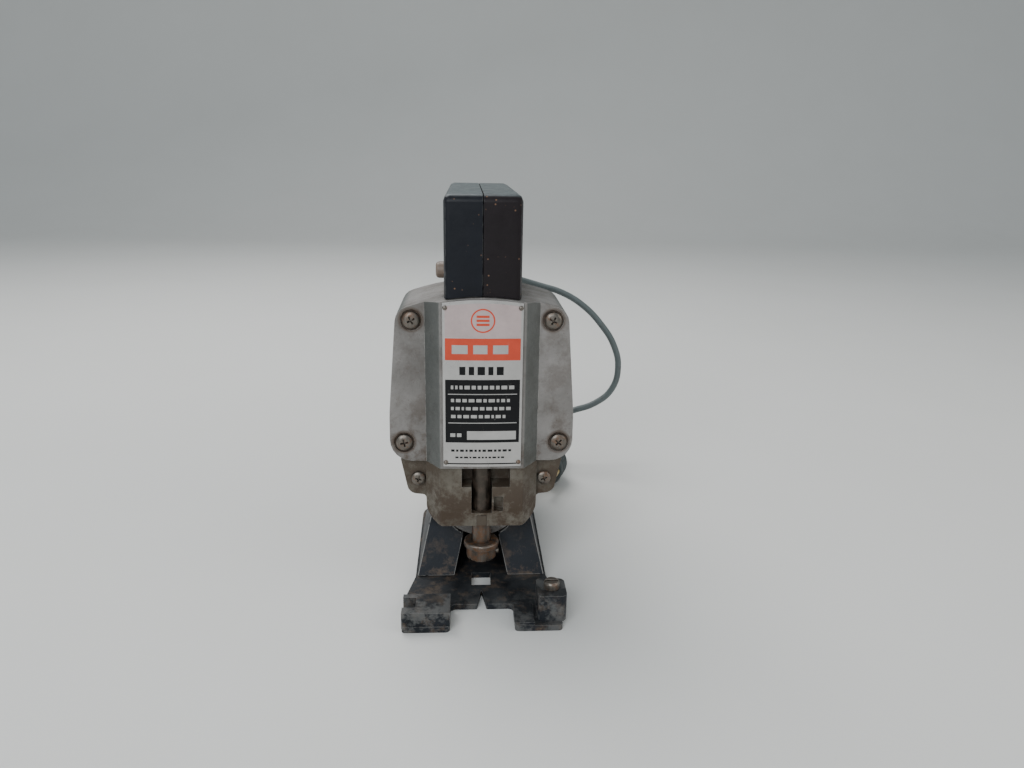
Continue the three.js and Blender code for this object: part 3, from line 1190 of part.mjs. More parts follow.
function buildTiltBracket() {
  const foot = SOLE_THICKNESS + SEAT_GAP;
  const body = prismY(bracketShape(), BRACKET_TOE, BRACKET_REAR);
  const sideProfile = roundedShape([
    [BRACKET_TOE, foot, 0],
    [BRACKET_REAR, foot, 0],
    [BRACKET_REAR, BRACKET_TOP + PAST, 0],
    [BRACKET_FRONT, BRACKET_TOP + PAST, 0],
    [BRACKET_FRONT, BRACKET_SLOPE_TOP, 0],
  ]);
  const profiled = body.intersect(prismX(sideProfile, -BRACKET_FOOT_HALF - PAST, BRACKET_FOOT_HALF + PAST));
  const hollowFront = BRACKET_FRONT + BRACKET_PLATE;
  const hollowRear = BRACKET_REAR - BRACKET_SHEET * 2;
  const wall = BRACKET_SHEET;
  const underside = prismY(roundedShape([
    [-BRACKET_FOOT_HALF + wall, foot - PAST, 0],
    [BRACKET_FOOT_HALF - wall, foot - PAST, 0],
    [BRACKET_TOP_HALF - wall, BRACKET_TOP - wall, 0],
    [-BRACKET_TOP_HALF + wall, BRACKET_TOP - wall, 0],
  ]), hollowFront, hollowRear);
  const saddle = turnedY(
    rodProfile(SADDLE_OUTER, hollowFront - PAST, hollowRear + PAST), 0, TILT_AXIS_HEIGHT,
  );
  const bladeWay = prismY(roundedShape([
    [-14.5, foot - PAST, 0],
    [14.5, foot - PAST, 0],
    [9.5, TILT_AXIS_HEIGHT - SADDLE_INNER + 1, 0],
    [9.5, BRACKET_TOP, 0],
    [-9.5, BRACKET_TOP, 0],
    [-9.5, TILT_AXIS_HEIGHT - SADDLE_INNER + 1, 0],
  ]), BRACKET_TOE - PAST, hollowFront + 1);
  return cut(profiled, cut(underside, saddle), bladeWay, ...TILT_BOLT_YS.map(arcSlot));
}

function onTiltArc(radius, angle) {
  return new THREE.Vector2(radius * Math.cos(angle), TILT_AXIS_HEIGHT + radius * Math.sin(angle));
}

/** The slot that lets the bracket swing round a bolt, to the tilt limit each way. */
function arcSlot(y) {
  const sweep = (TILT_LIMIT * Math.PI) / 180 + (TILT_BOLT_RADIUS + RUNNING_GAP) / SADDLE_INNER;
  const radiusIn = SADDLE_INNER - 1.5;
  const radiusOut = SADDLE_OUTER + 3;
  const steps = 10;
  const points = [];
  for (let i = 0; i <= steps; i += 1) {
    const angle = -Math.PI / 2 - sweep + (2 * sweep * i) / steps;
    points.push(onTiltArc(radiusOut, angle));
  }
  for (let i = steps; i >= 0; i -= 1) {
    const angle = -Math.PI / 2 - sweep + (2 * sweep * i) / steps;
    points.push(onTiltArc(radiusIn, angle));
  }
  const halfWidth = TILT_BOLT_RADIUS + RUNNING_GAP;
  return prismY(new THREE.Shape(points), y - halfWidth, y + halfWidth);
}

function buildTiltBolt(y) {
  const hexagon = turnedZ(rodProfile(4.6, BOLT_HEAD_TOP - 4.6, BOLT_HEAD_TOP - 1.2), 0, y, 6);
  const washer = turnedZ(rodProfile(5.4, BOLT_HEAD_TOP - 1.4, BOLT_HEAD_TOP), 0, y);
  const shank = turnedZ(rodProfile(TILT_BOLT_RADIUS, BOLT_HEAD_TOP - 1, TILT_BOLT_TOP), 0, y);
  return join(hexagon, washer, shank);
}

function buildFenceClamp() {
  const body = prismZ(roundedShape([
    [BLOCK_INNER, BASE_FRONT + 2.5, 2],
    [BLOCK_OUTER, BASE_FRONT + 2.5, 3],
    [BLOCK_OUTER, FRONT_STEP, 3],
    [BLOCK_INNER, FRONT_STEP, 2],
  ]), SOLE_THICKNESS + SEAT_GAP, BLOCK_TOP);
  const fenceWay = block(
    BLOCK_INNER - PAST, BLOCK_OUTER + PAST, FENCE_SLOT_FRONT, FENCE_SLOT_REAR,
    FENCE_SLOT_BOTTOM, FENCE_SLOT_TOP,
  );
  const thread = turnedZ(
    rodProfile(SCREW_SHANK_RADIUS + SEAT_GAP, FENCE_SLOT_TOP - PAST, BLOCK_TOP + PAST),
    FENCE_SCREW_X, FENCE_SCREW_Y,
  );
  return cut(body, fenceWay, thread);
}

function buildFenceScrew() {
  const seat = BLOCK_TOP + RUNNING_GAP;
  const profile = [
    [0, FENCE_SLOT_TOP + 0.2],
    [SCREW_SHANK_RADIUS, FENCE_SLOT_TOP + 0.2],
    [SCREW_SHANK_RADIUS, seat],
    [3.9, seat],
    [3.9, seat + 2.8],
    [3.2, seat + 3.8],
    [0, seat + 3.8],
  ];
  const head = turnedZ(profile, FENCE_SCREW_X, FENCE_SCREW_Y);
  const driverSlot = block(
    FENCE_SCREW_X - 5, FENCE_SCREW_X + 5, FENCE_SCREW_Y - 0.7, FENCE_SCREW_Y + 0.7,
    seat + 2.4, seat + 3.8 + PAST,
  );
  return cut(head, driverSlot);
}

function buildBaseGroup() {
  piece('base', buildBase(), 'blackSteel');
  piece('tilt_bracket', buildTiltBracket(), 'blackSteel');
  piece('fence_clamp_block', buildFenceClamp(), 'blackSteel');
  piece('fence_screw', buildFenceScrew(), 'screwSteel');
  piece('tilt_bolt_front', buildTiltBolt(TILT_BOLT_YS[0]), 'screwSteel');
  piece('tilt_bolt_rear', buildTiltBolt(TILT_BOLT_YS[1]), 'screwSteel');
}

// ---------------------------------------------------------------- cord

const STRAIN_ROOT_RADIUS = 5.6;

/** The cord's free route from the strain relief down to the coil, and from the coil to the plug. */
const LEAD_ROUTE = [
  [0, HANDLE_REAR + STRAIN_RELIEF_LENGTH + SEAT_GAP, CORD_EXIT_Z],
  [0.5, 182, 140.5],
  [5, 193, 138.8],
  [15, 201, 136],
  [29, 203.5, 132],
  [45, 201, 127.8],
  [61, 196, 123.5],
  [76, 191, 115],
  [89, 187, 102],
  [98, 183, 88],
  [101.5, 180, 72],
  [97, 177, 56.5],
  [85, 175.5, 46.5],
  [69, 175, 41],
  [52, 176, 34.5],
  [37, 177.5, 26],
  [22, 180, 17],
  [8, 184, 9],
  [-6, 189.5, 3.6],
  [-19, 197.5, 2.6],
  [-27.6, 208.5, 2.6],
  [-31.8, COIL_CENTRE_Y - 18.5, 2.9],
];
const TAIL_ROUTE = [
  [32.4, COIL_CENTRE_Y - 18.5, 16.6],
  [38, 210, 15.8],
  [47.5, 202, 14.6],
  [56, 192, 14],
  [60.2, 181, 13.4],
  [59.3, 173, 13.3],
  [56.4, 165.3, 13.3],
];
const PLUG_REAR = [56.3, 165, PLUG_RADIUS + 0.3];
const PLUG_HEADING = [-0.35, -0.937];
const PIN_SPACING = 19;

/** A round tube through points, with flat ends. */
function tubeThrough(route, radius, sides, steps) {
  const points = route.map((point) => new THREE.Vector3(...point));
  const curve = new THREE.CatmullRomCurve3(points, false, 'centripetal');
  const section = [];
  for (let i = 0; i < sides; i += 1) {
    const angle = (i * 2 * Math.PI) / sides;
    section.push(new THREE.Vector2(radius * Math.cos(angle), radius * Math.sin(angle)));
  }
  return toSolid(new THREE.ExtrudeGeometry(new THREE.Shape(section), { steps, extrudePath: curve }));
}

function buildStrainRelief() {
  const root = HANDLE_REAR - HANDLE_WALL + 0.2;
  return turnedY([
    [0, root],
    [STRAIN_ROOT_RADIUS, root],
    [STRAIN_ROOT_RADIUS, HANDLE_REAR + 2],
    [CORD_RADIUS + 2.2, HANDLE_REAR + 4],
    [CORD_RADIUS + 0.9, HANDLE_REAR + STRAIN_RELIEF_LENGTH],
    [0, HANDLE_REAR + STRAIN_RELIEF_LENGTH],
  ], 0, CORD_EXIT_Z);
}

/** The plug lies on the table on its round side; it is built along +Y from its cord end and then turned. */
function buildPlug() {
  const plug = new THREE.Group();
  plug.position.set(...PLUG_REAR);
  plug.rotation.z = Math.atan2(-PLUG_HEADING[0], PLUG_HEADING[1]);
  tool.add(plug);
  const body = turnedY([
    [0, 0],
    [CORD_RADIUS + 1, 0],
    [CORD_RADIUS + 2.6, 8],
    [PLUG_RADIUS - 4, 11],
    [PLUG_RADIUS - 1, 15],
    [PLUG_RADIUS, 20],
    [PLUG_RADIUS, PLUG_LENGTH - 1.5],
    [PLUG_RADIUS - 1.5, PLUG_LENGTH],
    [0, PLUG_LENGTH],
  ], 0, 0);
  piece('plug_body', body, 'rubber', plug);
  const pin = [
    [0, PLUG_LENGTH + SEAT_GAP],
    [2.2, PLUG_LENGTH + SEAT_GAP],
    [2.2, PLUG_LENGTH + 17],
    [1.4, PLUG_LENGTH + 18.5],
    [0, PLUG_LENGTH + 18.5],
  ];
  piece('plug_pin_left', turnedY(pin, -PIN_SPACING / 2, 0), 'brass', plug);
  piece('plug_pin_right', turnedY(pin, PIN_SPACING / 2, 0), 'brass', plug);
}

function buildCord() {
  piece('strain_relief', buildStrainRelief(), 'rubber');
  piece('cord_lead', tubeThrough(LEAD_ROUTE, CORD_RADIUS, 8, 44), 'cordSheath');
  piece('cord_tail', tubeThrough(TAIL_ROUTE, CORD_RADIUS, 8, 10), 'cordSheath');
  const coil = ringProfile(
    COIL_INNER - CORD_RADIUS - 0.2, COIL_OUTER + CORD_RADIUS + 0.2, COIL_BOTTOM, COIL_BOTTOM + COIL_HEIGHT,
  );
  piece('cord_coil', turnedZ(coil, 0, COIL_CENTRE_Y), 'cordSheath');
  buildPlug();
}

// ---------------------------------------------------------------- the whole tool

piece('front_cover', buildFrontCover(), 'castAluminium');
piece('guide_housing', buildGuideHousing(), 'darkCast');
piece('gear_housing', buildGearHousing(), 'castAluminium');
buildScrewsAndPlate();
buildSawDrive();
buildMotor();
buildBrushGear();
buildHandle();
buildBaseGroup();
buildCord();

export default tool;
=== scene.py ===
"""A small all-metal jigsaw on a pale floor. Metres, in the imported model's frame."""

import json
import math
import random

import bmesh
import bpy
from mathutils import Matrix, Vector

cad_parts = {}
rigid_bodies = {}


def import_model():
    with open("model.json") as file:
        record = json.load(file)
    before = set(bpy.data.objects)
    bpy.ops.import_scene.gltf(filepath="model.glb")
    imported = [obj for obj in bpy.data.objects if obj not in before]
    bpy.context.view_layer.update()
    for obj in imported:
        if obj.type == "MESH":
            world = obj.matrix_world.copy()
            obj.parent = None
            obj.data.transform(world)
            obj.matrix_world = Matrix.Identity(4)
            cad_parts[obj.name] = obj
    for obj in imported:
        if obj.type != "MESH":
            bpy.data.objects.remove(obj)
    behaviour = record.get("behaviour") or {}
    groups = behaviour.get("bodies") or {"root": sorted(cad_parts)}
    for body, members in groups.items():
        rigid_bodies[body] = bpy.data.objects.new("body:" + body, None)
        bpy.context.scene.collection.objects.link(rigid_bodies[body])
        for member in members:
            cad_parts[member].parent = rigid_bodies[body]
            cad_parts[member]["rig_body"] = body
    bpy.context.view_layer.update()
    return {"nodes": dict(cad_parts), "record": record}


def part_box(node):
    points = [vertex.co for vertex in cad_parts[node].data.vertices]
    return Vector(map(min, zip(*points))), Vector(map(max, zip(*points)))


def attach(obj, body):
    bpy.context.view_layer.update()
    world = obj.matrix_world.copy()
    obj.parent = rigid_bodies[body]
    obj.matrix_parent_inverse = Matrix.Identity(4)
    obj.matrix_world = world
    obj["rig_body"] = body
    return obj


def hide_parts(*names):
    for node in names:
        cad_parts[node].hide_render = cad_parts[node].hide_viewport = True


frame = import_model()
NODES = frame["nodes"]
MM = 0.001
MIDDLE_Y = 60.7 * MM  # from the column's front face back to the origin
rng = random.Random(7)


def point(x, y, z):
    """A place in millimetres, with y counted from the column's front face."""
    return Vector((x * MM, y * MM - MIDDLE_Y, z * MM))


def add(name, data):
    """A new object in the scene."""
    thing = bpy.data.objects.new(name, data)
    bpy.context.scene.collection.objects.link(thing)
    return thing


def mesh_of(shape, name):
    """A bmesh as a mesh. The bmesh is used up."""
    mesh = bpy.data.meshes.new(name)
    shape.to_mesh(mesh)
    shape.free()
    return mesh


def closed_mesh_of(shape, name):
    """The same for a closed shape, with its faces turned out."""
    bmesh.ops.recalc_face_normals(shape, faces=shape.faces)
    return mesh_of(shape, name)


def pointing(direction):
    """The turn that carries +Z to a direction."""
    return Vector(direction).to_track_quat("Z", "Y").to_matrix().to_4x4()


# ---------------------------------------------------------------- camera

CAMERA_PLACE = (-0.0074, -0.4109, 0.218)
CAMERA_HEADING = (0.061, 0.998)
CAMERA_PITCH = math.radians(16.6)
CAMERA_ROLL = math.radians(1.0)
CAMERA_LENS = 27.03


def make_camera():
    data = bpy.data.cameras.new("camera")
    data.lens = CAMERA_LENS
    data.sensor_width = 36
    data.clip_start = 0.01
    camera = add("camera", data)
    flat = math.cos(CAMERA_PITCH)
    ahead = Vector((CAMERA_HEADING[0] * flat, CAMERA_HEADING[1] * flat, -math.sin(CAMERA_PITCH)))
    turn = ahead.to_track_quat("-Z", "Y").to_matrix() @ Matrix.Rotation(CAMERA_ROLL, 3, "Z")
    camera.matrix_world = Matrix.Translation(CAMERA_PLACE) @ turn.to_4x4()
    bpy.context.scene.camera = camera


# ---------------------------------------------------------------- materials


class Shade:
    """A material and short names for the nodes that it is made of."""

    def __init__(self, name, edge=False, **settings):
        self.edge = edge
        self.material = bpy.data.materials.new(name + "_edge" if edge else name)
        self.material.use_nodes = True
        self.nodes = self.material.node_tree.nodes
        self.links = self.material.node_tree.links
        self.shader = self.nodes["Principled BSDF"]
        self.place = self.nodes.new("ShaderNodeTexCoord").outputs["Object"]
        for socket, value in settings.items():
            self.set(socket.replace("_", " "), value)

    def set(self, socket, value):
        self.feed(self.shader.inputs[socket], value)

    def feed(self, socket, value):
        if isinstance(value, bpy.types.NodeSocket):
            self.links.new(value, socket)
        elif isinstance(value, tuple) and len(value) == 3 and socket.type == "RGBA":
            socket.default_value = (*value, 1)
        else:
            socket.default_value = value

    def noise(self, scale, detail=4, roughness=0.55, stretch=None):
        node = self.nodes.new("ShaderNodeTexNoise")
        source = self.place
        if stretch:
            mapping = self.nodes.new("ShaderNodeMapping")
            mapping.inputs["Scale"].default_value = stretch
            self.links.new(self.place, mapping.inputs["Vector"])
            source = mapping.outputs["Vector"]
        self.links.new(source, node.inputs["Vector"])
        node.inputs["Scale"].default_value = scale
        node.inputs["Detail"].default_value = detail
        node.inputs["Roughness"].default_value = roughness
        return node.outputs["Fac"]

    def cells(self, scale):
        node = self.nodes.new("ShaderNodeTexVoronoi")
        self.links.new(self.place, node.inputs["Vector"])
        node.inputs["Scale"].default_value = scale
        return node.outputs["Distance"]

    def span(self, value, low, high, to_low=0.0, to_high=1.0):
        node = self.nodes.new("ShaderNodeMapRange")
        for socket, number in zip(node.inputs[:5], (value, low, high, to_low, to_high)):
            self.feed(socket, number)
        return node.outputs["Result"]

    def math(self, operation, a, b=0.0):
        node = self.nodes.new("ShaderNodeMath")
        node.operation = operation
        self.feed(node.inputs[0], a)
        self.feed(node.inputs[1], b)
        return node.outputs["Value"]

    def mix(self, factor, a, b):
        node = self.nodes.new("ShaderNodeMix")
        node.data_type = "RGBA"
        self.feed(node.inputs["Factor"], factor)
        self.feed(node.inputs[6], a)
        self.feed(node.inputs[7], b)
        return node.outputs[2]

    def axis(self, name):
        node = self.nodes.new("ShaderNodeSeparateXYZ")
        self.links.new(self.place, node.inputs["Vector"])
        return node.outputs[name]

    def facing(self, name):
        """The surface normal's part along an axis."""
        geometry = self.nodes.new("ShaderNodeNewGeometry")
        split = self.nodes.new("ShaderNodeSeparateXYZ")
        self.links.new(geometry.outputs["Normal"], split.inputs["Vector"])
        return split.outputs[name]

    def rubbed(self, colour, bare, share):
        """On an edge material, the colour rubbed away in patches to what is under it."""
        if not self.edge:
            return colour
        patches = self.span(self.noise(190, 7, 0.7), 0.66 - share * 0.35, 0.74 - share * 0.35)
        return self.mix(self.math("MULTIPLY", patches, share), colour, bare)

    def sideways(self):
        """1 on faces that slope away to the left or right."""
        return self.span(self.math("ABSOLUTE", self.facing("X")), 0.3, 0.62)

    def near(self, x, z, radius, soft):
        """1 inside a circle in the front view, 0 outside it."""
        dx = self.math("SUBTRACT", self.axis("X"), x * MM)
        dz = self.math("SUBTRACT", self.axis("Z"), z * MM)
        square = self.math("ADD", self.math("POWER", dx, 2.0), self.math("POWER", dz, 2.0))
        return self.span(self.math("SQRT", square), (radius + soft) * MM, radius * MM)

    def bump(self, *layers):
        """Layers are (height, depth in millimetres)."""
        normal = None
        for height, depth in layers:
            node = self.nodes.new("ShaderNodeBump")
            node.inputs["Distance"].default_value = depth * MM
            node.inputs["Strength"].default_value = 1.0
            self.links.new(height, node.inputs["Height"])
            if normal is not None:
                self.links.new(normal, node.inputs["Normal"])
            normal = node.outputs["Normal"]
        self.links.new(normal, self.shader.inputs["Normal"])


COUNTERBORES = [(-34, 142), (34, 142), (-38.5, 80), (38.5, 80)]  # where the cover screws sit, as (x, z)


def cast_metal(name, light, dark, grime, grime_share, metallic=0.5, bored=False, edge=False):
    """Sand-cast metal: mottled, pitted and stained, more so lower down. If bored, painted shade in the
    counterbores round its screws and on faces that slope to the side.
    """
    s = Shade(name, edge, Metallic=metallic)
    broad = s.noise(28, 6, 0.62)
    colour = s.mix(s.span(broad, 0.35, 0.68), dark, light)
    stain = s.noise(75, 8, 0.72)
    dirty = s.span(stain, 0.66 - grime_share * 0.3, 0.78 - grime_share * 0.3)
    low = s.span(s.axis("Z"), 0.105, 0.045, 0.25, 1.0)
    colour = s.mix(s.math("MULTIPLY", dirty, low), colour, grime)
    pits = s.span(s.cells(420), 0.0, 0.16, 1.0, 0.0)
    colour = s.mix(s.math("MULTIPLY", pits, 0.5), colour, grime)
    if bored:
        # painted shade: the counterbores round the screws are darkened with the grime colour
        for x, z in COUNTERBORES:
            colour = s.mix(s.math("MULTIPLY", s.near(x, z, 5.2, 1.4), 0.8), colour, grime)
        # painted shade: faces that slope to the left or right are darkened to grey-teal
        colour = s.mix(s.math("MULTIPLY", s.sideways(), 0.6), colour, (0.085, 0.10, 0.095))
    colour = s.rubbed(colour, (0.46, 0.445, 0.42), 0.6)
    s.set("Base Color", colour)
    s.set("Roughness", s.span(stain, 0.3, 0.75, 0.42, 0.74))
    s.bump((s.noise(620, 5, 0.7), 0.28), (s.noise(2200, 3), 0.06), (s.cells(420), 0.1))
    return s.material


def black_steel(name, edge=False):
    """Blackened sheet: brown dirt low down, a painted sheen on top, scraped at the front of the sole."""
    s = Shade(name, edge, Metallic=0.3)
    s.set("Specular IOR Level", 0.3)
    patches = s.noise(55, 7, 0.68)
    colour = s.mix(s.span(patches, 0.35, 0.7), (0.006, 0.008, 0.011), (0.019, 0.022, 0.028))
    dust = s.span(s.noise(130, 8, 0.75), 0.5, 0.64)
    low = s.span(s.axis("Z"), 0.024, 0.002, 0.12, 0.85)
    colour = s.mix(s.math("MULTIPLY", dust, low), colour, (0.115, 0.082, 0.058))
    # painted sheen: faces that look up are lightened to grey in patches, as light from above would make them
    up = s.span(s.facing("Z"), 0.6, 1.0, 0.0, 0.22)
    colour = s.mix(s.math("MULTIPLY", up, s.span(patches, 0.3, 0.7)), colour, (0.16, 0.16, 0.155))
    front = s.span(s.axis("Y"), -0.062, -0.078)
    scraped = s.math("MULTIPLY", front, s.span(s.noise(95, 8, 0.7), 0.46, 0.56))
    colour = s.mix(s.math("MULTIPLY", scraped, 0.6), colour, (0.15, 0.15, 0.145))
    colour = s.rubbed(colour, (0.24, 0.235, 0.225), 0.85)
    s.set("Base Color", colour)
    s.set("Roughness", s.span(patches, 0.3, 0.7, 0.36, 0.66))
    s.bump((s.noise(340, 6, 0.7), 0.14), (s.noise(1500, 3), 0.04))
    return s.material


def bakelite(name, tint, edge=False):
    """Dark moulded resin: faint haze, brown specks and a painted sheen on top, broken into patches."""
    s = Shade(name, edge)
    s.set("Specular IOR Level", 0.22)
    haze = s.noise(48, 6, 0.6)
    colour = s.mix(s.span(haze, 0.3, 0.75), tint, tuple(c * 1.6 for c in tint))
    # painted sheen: faces that look up are lightened to grey-teal in patches, as light from above would make
    # them
    up = s.span(s.facing("Z"), 0.7, 0.99)
    top_sheen = s.math("MULTIPLY", up, s.span(s.noise(160, 8, 0.72), 0.36, 0.66, 0.35, 1.0))
    colour = s.mix(top_sheen, colour, (0.098, 0.124, 0.130))
    speck = s.span(s.cells(380), 0.10, 0.18, 0.75, 0.0)
    some = s.span(s.noise(120, 3), 0.52, 0.6)
    colour = s.mix(s.math("MULTIPLY", speck, some), colour, (0.22, 0.12, 0.07))
    colour = s.rubbed(colour, (0.075, 0.078, 0.078), 0.55)
    s.set("Base Color", colour)
    s.set("Roughness", s.span(s.noise(210, 6, 0.7), 0.3, 0.7, 0.3, 0.52))
    s.bump((s.noise(420, 5, 0.65), 0.09), (s.noise(70, 3), 0.12))
    return s.material


def turned_steel(name, light, dark, rust=0.35, shaded_above=None, edge=False):
    """Turned or drawn metal with rust spots and, above a height in metres, painted shade where it runs up
    under the housing.
    """
    s = Shade(name, edge, Metallic=0.9)
    rings = s.noise(900, 3, 0.5, stretch=(1, 1, 0.12))
    colour = s.mix(rings, dark, light)
    spots = s.span(s.noise(260, 8, 0.75), 0.62 - rust * 0.2, 0.72 - rust * 0.2)
    colour = s.mix(s.math("MULTIPLY", spots, rust + 0.25), colour, (0.12, 0.062, 0.032))
    if shaded_above is not None:
        # painted shade: above this height the metal runs up under the housing and is darkened
        housing_shade = s.span(s.axis("Z"), shaded_above, shaded_above + 0.006, 0.0, 0.8)
        colour = s.mix(housing_shade, colour, (0.05, 0.042, 0.034))
    colour = s.rubbed(colour, tuple(min(1.0, c * 1.25) for c in light), 0.6)
    s.set("Base Color", colour)
    s.set("Metallic", s.span(spots, 0.0, 1.0, 0.9, 0.25))
    s.set("Roughness", s.span(rings, 0.3, 0.7, 0.28, 0.5))
    s.bump((rings, 0.04), (s.noise(700, 5, 0.7), 0.06))
    return s.material


def rubbery(name, tint, grain=900, gloss=0.62, edge=False):
    """Soft matt stuff with a fine grain and grime in patches."""
    s = Shade(name, edge)
    haze = s.noise(45, 6, 0.65)
    colour = s.mix(s.span(haze, 0.3, 0.72), tuple(c * 0.72 for c in tint), tint)
    grime = s.span(s.noise(160, 7, 0.7), 0.56, 0.7)
    colour = s.mix(s.math("MULTIPLY", grime, 0.5), colour, (0.06, 0.05, 0.04))
    colour = s.rubbed(colour, tuple(min(1.0, c * 1.5) for c in tint), 0.4)
    s.set("Base Color", colour)
    s.set("Roughness", s.span(haze, 0.3, 0.7, gloss - 0.1, gloss + 0.14))
    s.bump((s.noise(grain, 5, 0.7), 0.06), (s.noise(90, 3), 0.08))
    return s.material


def printed(name, tint, metallic=0.0, gloss=0.34):
    """Ink or bare metal on the nameplate: scuffed, with a faint mottle."""
    s = Shade(name, Metallic=metallic)
    s.set("Specular IOR Level", 0.5 if metallic else 0.18)
    mottle = s.noise(120, 7, 0.7)
    scuff = s.span(s.noise(420, 8, 0.8, stretch=(1, 1, 0.35)), 0.62, 0.7)
    colour = s.mix(s.span(mottle, 0.3, 0.7), tuple(c * 0.82 for c in tint), tint)
    colour = s.mix(s.math("MULTIPLY", scuff, 0.3), colour, (0.42, 0.40, 0.38))
    s.set("Base Color", colour)
    s.set("Roughness", s.span(mottle, 0.3, 0.7, gloss - 0.06, gloss + 0.12))
    s.bump((s.noise(1400, 4, 0.6), 0.02), (s.noise(160, 3), 0.05))
    return s.material


GREASE = (0.055, 0.036, 0.022)
MAKERS = {
    "cast_aluminium": (
        cast_metal, (0.285, 0.27, 0.258), (0.16, 0.15, 0.14), (0.070, 0.042, 0.024), 0.56, 0.5, True,
    ),
    "dirty_cast": (cast_metal, (0.16, 0.143, 0.115), (0.075, 0.063, 0.046), GREASE, 0.8, 0.25),
    "screw_steel": (turned_steel, (0.22, 0.20, 0.178), (0.095, 0.082, 0.068), 0.6),
    "black_steel": (black_steel,),
    "bright_steel": (turned_steel, (0.185, 0.165, 0.145), (0.085, 0.07, 0.058), 0.8, 0.034),
    "bakelite": (bakelite, (0.0045, 0.0055, 0.0085)),
    "bakelite_brown": (bakelite, (0.0075, 0.0052, 0.0062)),
    "button_plastic": (rubbery, (0.20, 0.15, 0.115), 700, 0.42),
    "rubber": (rubbery, (0.055, 0.068, 0.070)),
    "cord_sheath": (rubbery, (0.115, 0.140, 0.140), 1200, 0.5),
    "copper": (turned_steel, (0.62, 0.29, 0.13), (0.34, 0.14, 0.06), 0.15),
    "brass": (turned_steel, (0.62, 0.47, 0.20), (0.36, 0.26, 0.10), 0.15),
    "carbon": (rubbery, (0.035, 0.035, 0.036), 1500, 0.6),
    "laminations": (turned_steel, (0.36, 0.37, 0.39), (0.19, 0.195, 0.21), 0.3),
    "felt": (rubbery, (0.085, 0.066, 0.048), 2400, 0.85),
}
MATERIALS = {"etched_plate": printed("etched_plate", (0.50, 0.485, 0.47), 0.75, 0.3)}
EDGE_MATERIALS = {}  # the same materials as they are on worn edges
for maker_name, (maker, *facts) in MAKERS.items():
    MATERIALS[maker_name] = maker(maker_name, *facts)
    EDGE_MATERIALS[maker_name] = maker(maker_name, *facts, edge=True)
SLOT_OF = {row["node"]: row["material_slot"] for row in frame["record"]["subparts"]}


# ---------------------------------------------------------------- pieces


def link(name, mesh, slot, body, stands_for=(), material=None):
    """A mesh as a piece of the object."""
    piece = add(name, mesh)
    if not mesh.materials:
        mesh.materials.append(MATERIALS[material or slot])
    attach(piece, body)
    if stands_for:
        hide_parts(*stands_for)
    return piece


def softened(mesh, angle=36):
    """Smooth shading, with creases only where faces meet at more than an angle in degrees."""
    mesh.shade_smooth()
    mesh.set_sharp_from_angle(angle=math.radians(angle))


def bevelled(mesh, width):
    """The mesh with its sharp edges rounded. The rounding takes the mesh's second material."""
    holder = add("holder", mesh)
    if width:
        modifier = holder.modifiers.new("edges", "BEVEL")
        modifier.width = width * MM
        modifier.segments = 2
        modifier.limit_method = "ANGLE"
        modifier.angle_limit = math.radians(32)
        modifier.material = 1
        holder.modifiers.new("level", "WEIGHTED_NORMAL")
    graph = bpy.context.evaluated_depsgraph_get()
    made = bpy.data.meshes.new_from_object(holder.evaluated_get(graph))
    bpy.data.objects.remove(holder)
    return made


def clean_copy(node, whole_faces):
    """A CAD node's mesh with its seams merged and, if asked, its flat faces made whole."""
    shape = bmesh.new()
    shape.from_mesh(NODES[node].data)
    bmesh.ops.remove_doubles(shape, verts=shape.verts, dist=1e-6)
    if whole_faces:
        flat = math.radians(0.4)
        bmesh.ops.dissolve_limit(shape, angle_limit=flat, verts=shape.verts, edges=shape.edges)
    mesh = mesh_of(shape, node + "_surface")
    mesh.materials.clear()
    return mesh


def measured(mesh):
    """A mesh's volume, area, open edges and box, to tell whether rounding its edges has broken it."""
    shape = bmesh.new()
    shape.from_mesh(mesh)
    open_edges = sum(len(edge.link_faces) != 2 for edge in shape.edges)
    lows = [min(v.co[k] for v in shape.verts) for k in range(3)]
    highs = [-max(v.co[k] for v in shape.verts) for k in range(3)]
    area = sum(face.calc_area() for face in shape.faces)
    facts = (abs(shape.calc_volume()), area, open_edges, lows + highs)
    shape.free()
    return facts


def is_sound(before, after):
    """Whether rounding has kept a mesh closed, in its box and close to its volume and area."""
    return (
        abs(after[0] / before[0] - 1) < 0.03
        and -0.08 < after[1] / before[1] - 1 < 0.01
        and after[2] <= before[2]
        and all(new > old - 2e-5 for new, old in zip(after[3], before[3]))
    )


# Rounding is tried as (share of the width, flat faces made whole), until one leaves the mesh sound.
ROUNDING_TRIES = (
    (1, True), (1, False), (0.6, True), (0.6, False), (0.35, False), (0.15, False), (0, False),
)


def refine(node, width, material=None):
    """Replaces a CAD node with the same shape, its edges rounded as cast or moulded ones are."""
    body = NODES[node]["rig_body"]
    slot = SLOT_OF[node]
    look = material or slot
    plain = measured(clean_copy(node, False))
    for share, whole_faces in ROUNDING_TRIES:
        source = clean_copy(node, whole_faces)
        source.shade_smooth()
        source.materials.append(MATERIALS[look])
        source.materials.append(EDGE_MATERIALS[look])
        mesh = bevelled(source, width * share)
        if share == 0:
            softened(mesh)
        if is_sound(plain, measured(mesh)):
            break
    if share < 1 or not whole_faces:
        print("edges of", node, "rounded to", round(width * share, 2), "mm, whole faces", whole_faces)
    return link(node + "_surface", mesh, slot, body, [node], material)


